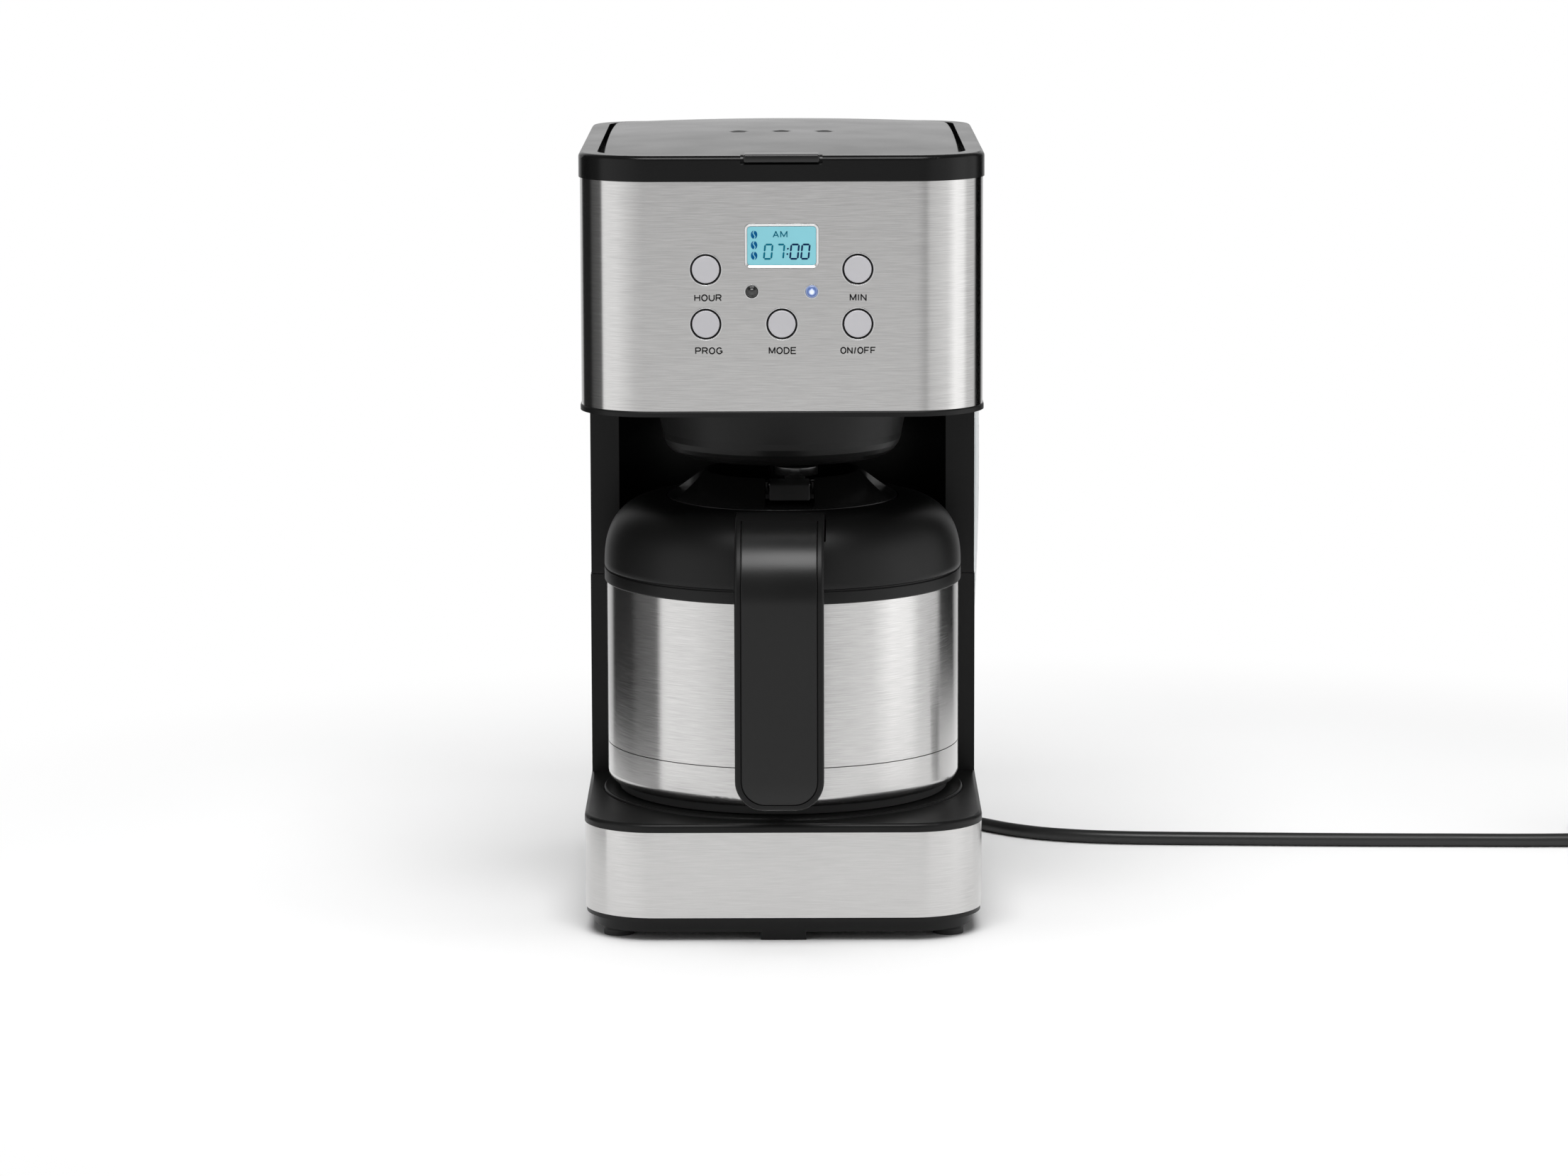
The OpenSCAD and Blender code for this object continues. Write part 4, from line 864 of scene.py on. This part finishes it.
def lens(name, centre, colours, base):
    """Lamp under a clear lens, glowing in rings of (share of its radius, colour), round a point in metres;
    for a lamp that is off the glow is painted.
    """
    material, nodes, links, shader = new_material(name)
    place = nodes.new("ShaderNodeTexCoord")
    offset = vector_step(nodes, links, place.outputs["Object"], "SUBTRACT", centre)
    flat = vector_step(nodes, links, offset.outputs["Vector"], "MULTIPLY", (1 / MM, 0, 1 / MM))
    reach = vector_step(nodes, links, flat.outputs["Vector"], "LENGTH")
    share = spread(nodes, links, reach.outputs["Value"], 0, 1, 0, LENS_R)
    links.new(ramp(nodes, links, share, colours), shader.inputs["Emission Color"])
    shader.inputs["Emission Strength"].default_value = 0.9
    shader.inputs["Base Color"].default_value = (*base, 1)
    shader.inputs["Roughness"].default_value = 0.12
    return material


def grey(value, warm=0.0):
    """A grey, warmed by a share of its value."""
    return (value * (1 + warm), value, value * (1 - warm))


LENS_R = 2.7
LIT_RINGS = [(0.0, (1.0, 1.0, 1.0)), (0.34, (0.85, 0.92, 1.0)), (0.5, (0.14, 0.22, 0.52)),
             (0.68, (0.05, 0.09, 0.26)), (0.86, (0.13, 0.19, 0.40)), (1.0, (0.34, 0.40, 0.58))]
# Painted glow: the unlit lamp glows faintly through its lens, grey at its centre and near black towards its
# rim
UNLIT_LAMP_PAINTED_GLOW = [(0.0, grey(0.055)), (0.3, grey(0.04)), (0.55, grey(0.012)), (0.7, grey(0.002)),
              (0.9, grey(0.001)), (1.0, grey(0.004))]
LAMP_AT = {side: sum(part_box(side), Vector()) / 2 for side in ("led_left", "led_right")}
MATERIALS = {
    "brushed_steel": brushed_steel("brushed_steel", grey(0.515, 0.01), grey(0.655, 0.01),
                                   grain=(90, 90, 6400)),
    "liner_steel": brushed_steel("liner_steel", grey(0.55), grey(0.68), (0.3, 0.42)),
    "zinc_steel": brushed_steel("zinc_steel", grey(0.6), grey(0.72), (0.2, 0.3), (900, 900, 900)),
    "cast_aluminium": moulded_plastic("cast_aluminium", grey(0.4), grey(0.5), (0.4, 0.6), depth=0.0002),
    "black_plastic": moulded_plastic("black_plastic", grey(0.0048), grey(0.0058), (0.36, 0.42), gloss=0.22),
    "black_soft": moulded_plastic("black_soft", grey(0.005), grey(0.0065), (0.40, 0.46), 1900, gloss=0.25),
    "stand_black": moulded_plastic("stand_black", grey(0.004), grey(0.006), (0.38, 0.46), gloss=0.2),
    "ring_satin": moulded_plastic("ring_satin", grey(0.0045), grey(0.0055), (0.22, 0.27), gloss=0.2),
    "handle_pad": moulded_plastic("handle_pad", grey(0.005), grey(0.0065), (0.27, 0.32), 1900, gloss=0.34),
    "lever_pad": moulded_plastic("lever_pad", grey(0.02), grey(0.03), (0.5, 0.6), 900, COARSE_GRAIN),
    "lever_cap": moulded_plastic("lever_cap", grey(0.03), grey(0.035), (0.12, 0.16), coat=1.0, gloss=1.0),
    "lid_satin": moulded_plastic("lid_satin", grey(0.005), grey(0.007), (0.22, 0.27), gloss=0.45),
    "rubber": moulded_plastic("rubber", grey(0.012), grey(0.018), (0.6, 0.75), 900),
    "silicone": moulded_plastic("silicone", (0.5, 0.5, 0.46), (0.6, 0.6, 0.56), (0.35, 0.45)),
    "cord_black": moulded_plastic("cord_black", grey(0.012), grey(0.016), (0.35, 0.45)),
    "white_plastic": moulded_plastic("white_plastic", grey(0.68), grey(0.74), (0.3, 0.4)),
    "circuit_board": moulded_plastic("circuit_board", (0.02, 0.12, 0.05), (0.03, 0.17, 0.07), (0.25, 0.35)),
    "thermostat_case": moulded_plastic("thermostat_case", (0.6, 0.56, 0.44), (0.7, 0.66, 0.54)),
    "fuse_sleeve": moulded_plastic("fuse_sleeve", (0.6, 0.58, 0.5), (0.72, 0.7, 0.62), (0.7, 0.85)),
    "switch_black": moulded_plastic("switch_black", grey(0.02), grey(0.03)),
    "display_case": moulded_plastic("display_case", grey(0.05), grey(0.06)),
    "bezel": polished_metal("bezel", grey(0.68), grey(0.76), (0.22, 0.3)),
    "button_silver": moulded_plastic("button_silver", (0.44, 0.435, 0.455), (0.48, 0.475, 0.495),
                                     (0.3, 0.36), coat=0.4),
    # The unlit lamp's lens carries a painted glow, grey at its centre
    "led_dark": lens("led_dark", LAMP_AT["led_left"], UNLIT_LAMP_PAINTED_GLOW, grey(0.01)),
    "led_lit": lens("led_lit", LAMP_AT["led_right"], LIT_RINGS, (0.04, 0.06, 0.12)),
    "display_glass": glowing("display_glass", (0.20, 0.50, 0.57), 0.12),
    "display_teal": moulded_plastic("display_teal", (0.0, 0.12, 0.185), (0.004, 0.13, 0.195),
                                    (0.4, 0.5), gloss=0.1),
    "display_blue": moulded_plastic("display_blue", (0.0, 0.08, 0.22), (0.002, 0.09, 0.24),
                                    (0.4, 0.5), gloss=0.1),
    "display_navy": moulded_plastic("display_navy", (0.0, 0.014, 0.06), (0.001, 0.018, 0.07),
                                    (0.4, 0.5), gloss=0.1),
    "print_black": moulded_plastic("print_black", grey(0.008), grey(0.012), (0.45, 0.55), gloss=0.25),
    "tank_clear": clear_plastic("tank_clear", (0.12, 0.125, 0.13), 0.12, 0.55),
    "gauge_clear": clear_plastic("gauge_clear", (0.75, 0.8, 0.82), 0.06, 0.35),
}
FINISHES = {"top_ring": "ring_satin"}


def paint_nodes():
    """Gives each CAD node the material of its slot in the record, or a finish of its own."""
    for entry in frame["record"]["subparts"]:
        piece = NODES[entry["node"]]
        material = MATERIALS[FINISHES.get(entry["node"], entry["material_slot"])]
        for place in piece.material_slots:
            place.material = material
        if not piece.material_slots:
            piece.data.materials.append(material)


# ---------------------------------------------------------------- stage

# Brightness of the surroundings by direction, in degrees to the right of where the front faces
LEFT_CARDS = [(-180, 0.9), (-152, 0.55), (-146, 0.02), (-118, 0.02), (-111, 0.10), (-90, 0.16), (-86, 1.15),
              (-60, 1.1), (-30, 0.8)]
LOW_FRONT = [(-16, 1.1), (10, 1.1), (24, 0.85)]
HIGH_FRONT = [(-16, 0.2), (10, 0.2), (24, 0.12)]
RIGHT_CARDS = [(31, 0.8), (60, 1.0), (76, 1.5), (92, 1.4), (101, 0.85), (121, 0.75), (126, 0.0), (149, 0.0),
               (154, 0.5), (180, 0.9)]
# Heights between which the low cards give way to the high ones, and those to the ceiling's grey
LOW_EDGE, HIGH_EDGE = (-0.22, 0.06), (0.30, 0.62)
# Floor, in metres: where its paper turns white, and where mirrored surfaces stop seeing it
FLOOR_AT, FLOOR_R = (0.1, 0.03, 0), 0.68
WHITE_FROM, WHITE_TO = 0.42, 0.66
MIRROR_FROM, MIRROR_TO = 0.38, 0.58


def make_world():
    """A soft studio all round: pale ahead, bright cards at the sides, dark gaps behind them."""
    world = bpy.data.worlds.new("studio")
    bpy.context.scene.world = world
    world.use_nodes = True
    nodes, links = world.node_tree.nodes, world.node_tree.links
    nodes.clear()
    place = nodes.new("ShaderNodeTexCoord")
    parts = nodes.new("ShaderNodeSeparateXYZ")
    links.new(place.outputs["Generated"], parts.inputs["Vector"])
    back = nodes.new("ShaderNodeMath")
    back.operation = "MULTIPLY"
    back.inputs[1].default_value = -1
    links.new(parts.outputs["Y"], back.inputs[0])
    turn = nodes.new("ShaderNodeMath")
    turn.operation = "ARCTAN2"
    links.new(parts.outputs["X"], turn.inputs[0])
    links.new(back.outputs[0], turn.inputs[1])
    share = spread(nodes, links, turn.outputs[0], 0, 1, -math.pi, math.pi)
    layers = []
    for front, edge in ((LOW_FRONT, LOW_EDGE), (HIGH_FRONT, HIGH_EDGE)):
        stops = LEFT_CARDS + front + RIGHT_CARDS
        cards = ramp(nodes, links, share, [((degrees + 180) / 360, grey(value)) for degrees, value in stops])
        layer = nodes.new("ShaderNodeMix")
        layer.data_type = "RGBA"
        links.new(spread(nodes, links, parts.outputs["Z"], 0, 1, *edge), layer.inputs["Factor"])
        layers.append((cards, layer))
    (low_cards, low), (high_cards, light) = layers
    links.new(low_cards, low.inputs["A"])
    links.new(high_cards, low.inputs["B"])
    links.new(low.outputs["Result"], light.inputs["A"])
    light.inputs["B"].default_value = (0.12, 0.12, 0.12, 1)
    path = nodes.new("ShaderNodeLightPath")
    seen = nodes.new("ShaderNodeMix")
    seen.data_type = "RGBA"
    links.new(path.outputs["Is Camera Ray"], seen.inputs["Factor"])
    links.new(light.outputs["Result"], seen.inputs["A"])
    seen.inputs["B"].default_value = (1, 1, 1, 1)
    glow = nodes.new("ShaderNodeBackground")
    links.new(seen.outputs["Result"], glow.inputs["Color"])
    out = nodes.new("ShaderNodeOutputWorld")
    links.new(glow.outputs["Background"], out.inputs["Surface"])


def make_light(name, at, towards, size, power, mirrored=True):
    """A soft box aimed at a point."""
    data = bpy.data.lights.new(name, "AREA")
    data.shape = "RECTANGLE"
    data.size, data.size_y = size
    data.energy = power
    light = bpy.data.objects.new(name, data)
    light.location = at
    light.visible_glossy = mirrored
    light.rotation_euler = (Vector(towards) - Vector(at)).to_track_quat("-Z", "Y").to_euler()
    bpy.context.scene.collection.objects.link(light)


def make_floor():
    """Paper under the machine that turns pure white further out."""
    material, nodes, links, shader = new_material("floor_paper")
    broad = noise_at(nodes, links, (3, 3, 3))
    links.new(tint(nodes, links, broad, grey(0.93), grey(0.95)), shader.inputs["Base Color"])
    shader.inputs["Roughness"].default_value = 0.9
    shader.inputs["Specular IOR Level"].default_value = 0.1
    place = nodes.new("ShaderNodeTexCoord")
    reach = vector_step(nodes, links, place.outputs["Object"], "LENGTH")
    white = nodes.new("ShaderNodeEmission")
    fade = nodes.new("ShaderNodeMapRange")
    fade.interpolation_type = "SMOOTHSTEP"
    fade.inputs["From Min"].default_value = WHITE_FROM
    fade.inputs["From Max"].default_value = WHITE_TO
    links.new(reach.outputs["Value"], fade.inputs["Value"])
    mix = nodes.new("ShaderNodeMixShader")
    links.new(fade.outputs["Result"], mix.inputs["Fac"])
    links.new(shader.outputs["BSDF"], mix.inputs[1])
    links.new(white.outputs["Emission"], mix.inputs[2])
    # Mirrored surfaces see only the paper near the machine, and the cards beyond it
    path = nodes.new("ShaderNodeLightPath")
    far = spread(nodes, links, reach.outputs["Value"], 0, 1, MIRROR_FROM, MIRROR_TO)
    hide = nodes.new("ShaderNodeMath")
    hide.operation = "MULTIPLY"
    links.new(far, hide.inputs[0])
    links.new(path.outputs["Is Glossy Ray"], hide.inputs[1])
    clear = nodes.new("ShaderNodeBsdfTransparent")
    seen = nodes.new("ShaderNodeMixShader")
    links.new(hide.outputs[0], seen.inputs["Fac"])
    links.new(mix.outputs["Shader"], seen.inputs[1])
    links.new(clear.outputs["BSDF"], seen.inputs[2])
    links.new(seen.outputs["Shader"], nodes["Material Output"].inputs["Surface"])
    mesh = bpy.data.meshes.new("floor")
    edge = [(FLOOR_R * c, FLOOR_R * s, 0) for c, s in circle(96)]
    mesh.from_pydata(edge, [], [tuple(range(96))])
    floor = bpy.data.objects.new("floor", mesh)
    floor.location = FLOOR_AT
    mesh.materials.append(material)
    bpy.context.scene.collection.objects.link(floor)


def make_stage():
    """Surroundings, floor and lights."""
    bpy.context.scene.view_settings.view_transform = "Standard"
    make_world()
    make_floor()
    make_light("front_box", (0, -1.15, 2.0), (0, -0.1, 0.2), (1.5, 0.9), 34)
    make_light("top_box", (0, 0.3, 2.4), (0, 0, 0), (2.2, 1.6), 30, mirrored=False)


# ---------------------------------------------------------------- make it all

make_camera()
make_cord(MATERIALS["cord_black"])
paint_nodes()
lid = make_lid(MATERIALS["lid_satin"])
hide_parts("lid")
handle, pad = make_handle(MATERIALS["black_plastic"], MATERIALS["handle_pad"])
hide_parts("jug_handle")
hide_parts("handle_inlay")
shoulder = make_shoulder(MATERIALS["black_plastic"])
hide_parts("jug_shoulder")
stopper = make_jug_lid(MATERIALS["lid_satin"])
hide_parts("jug_lid")
rocker, cap = make_lever(MATERIALS["lever_pad"], MATERIALS["lever_cap"])
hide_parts("pour_lever")
spring = make_spring(MATERIALS["zinc_steel"])
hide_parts("drip_spring")
display_frame = make_display_frame(MATERIALS["bezel"])
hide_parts("lcd_bezel")
rims = make_rims(MATERIALS["bezel"])
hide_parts("control_rims")
make_display()
make_lettering()
make_gauge_marks()
make_stage()
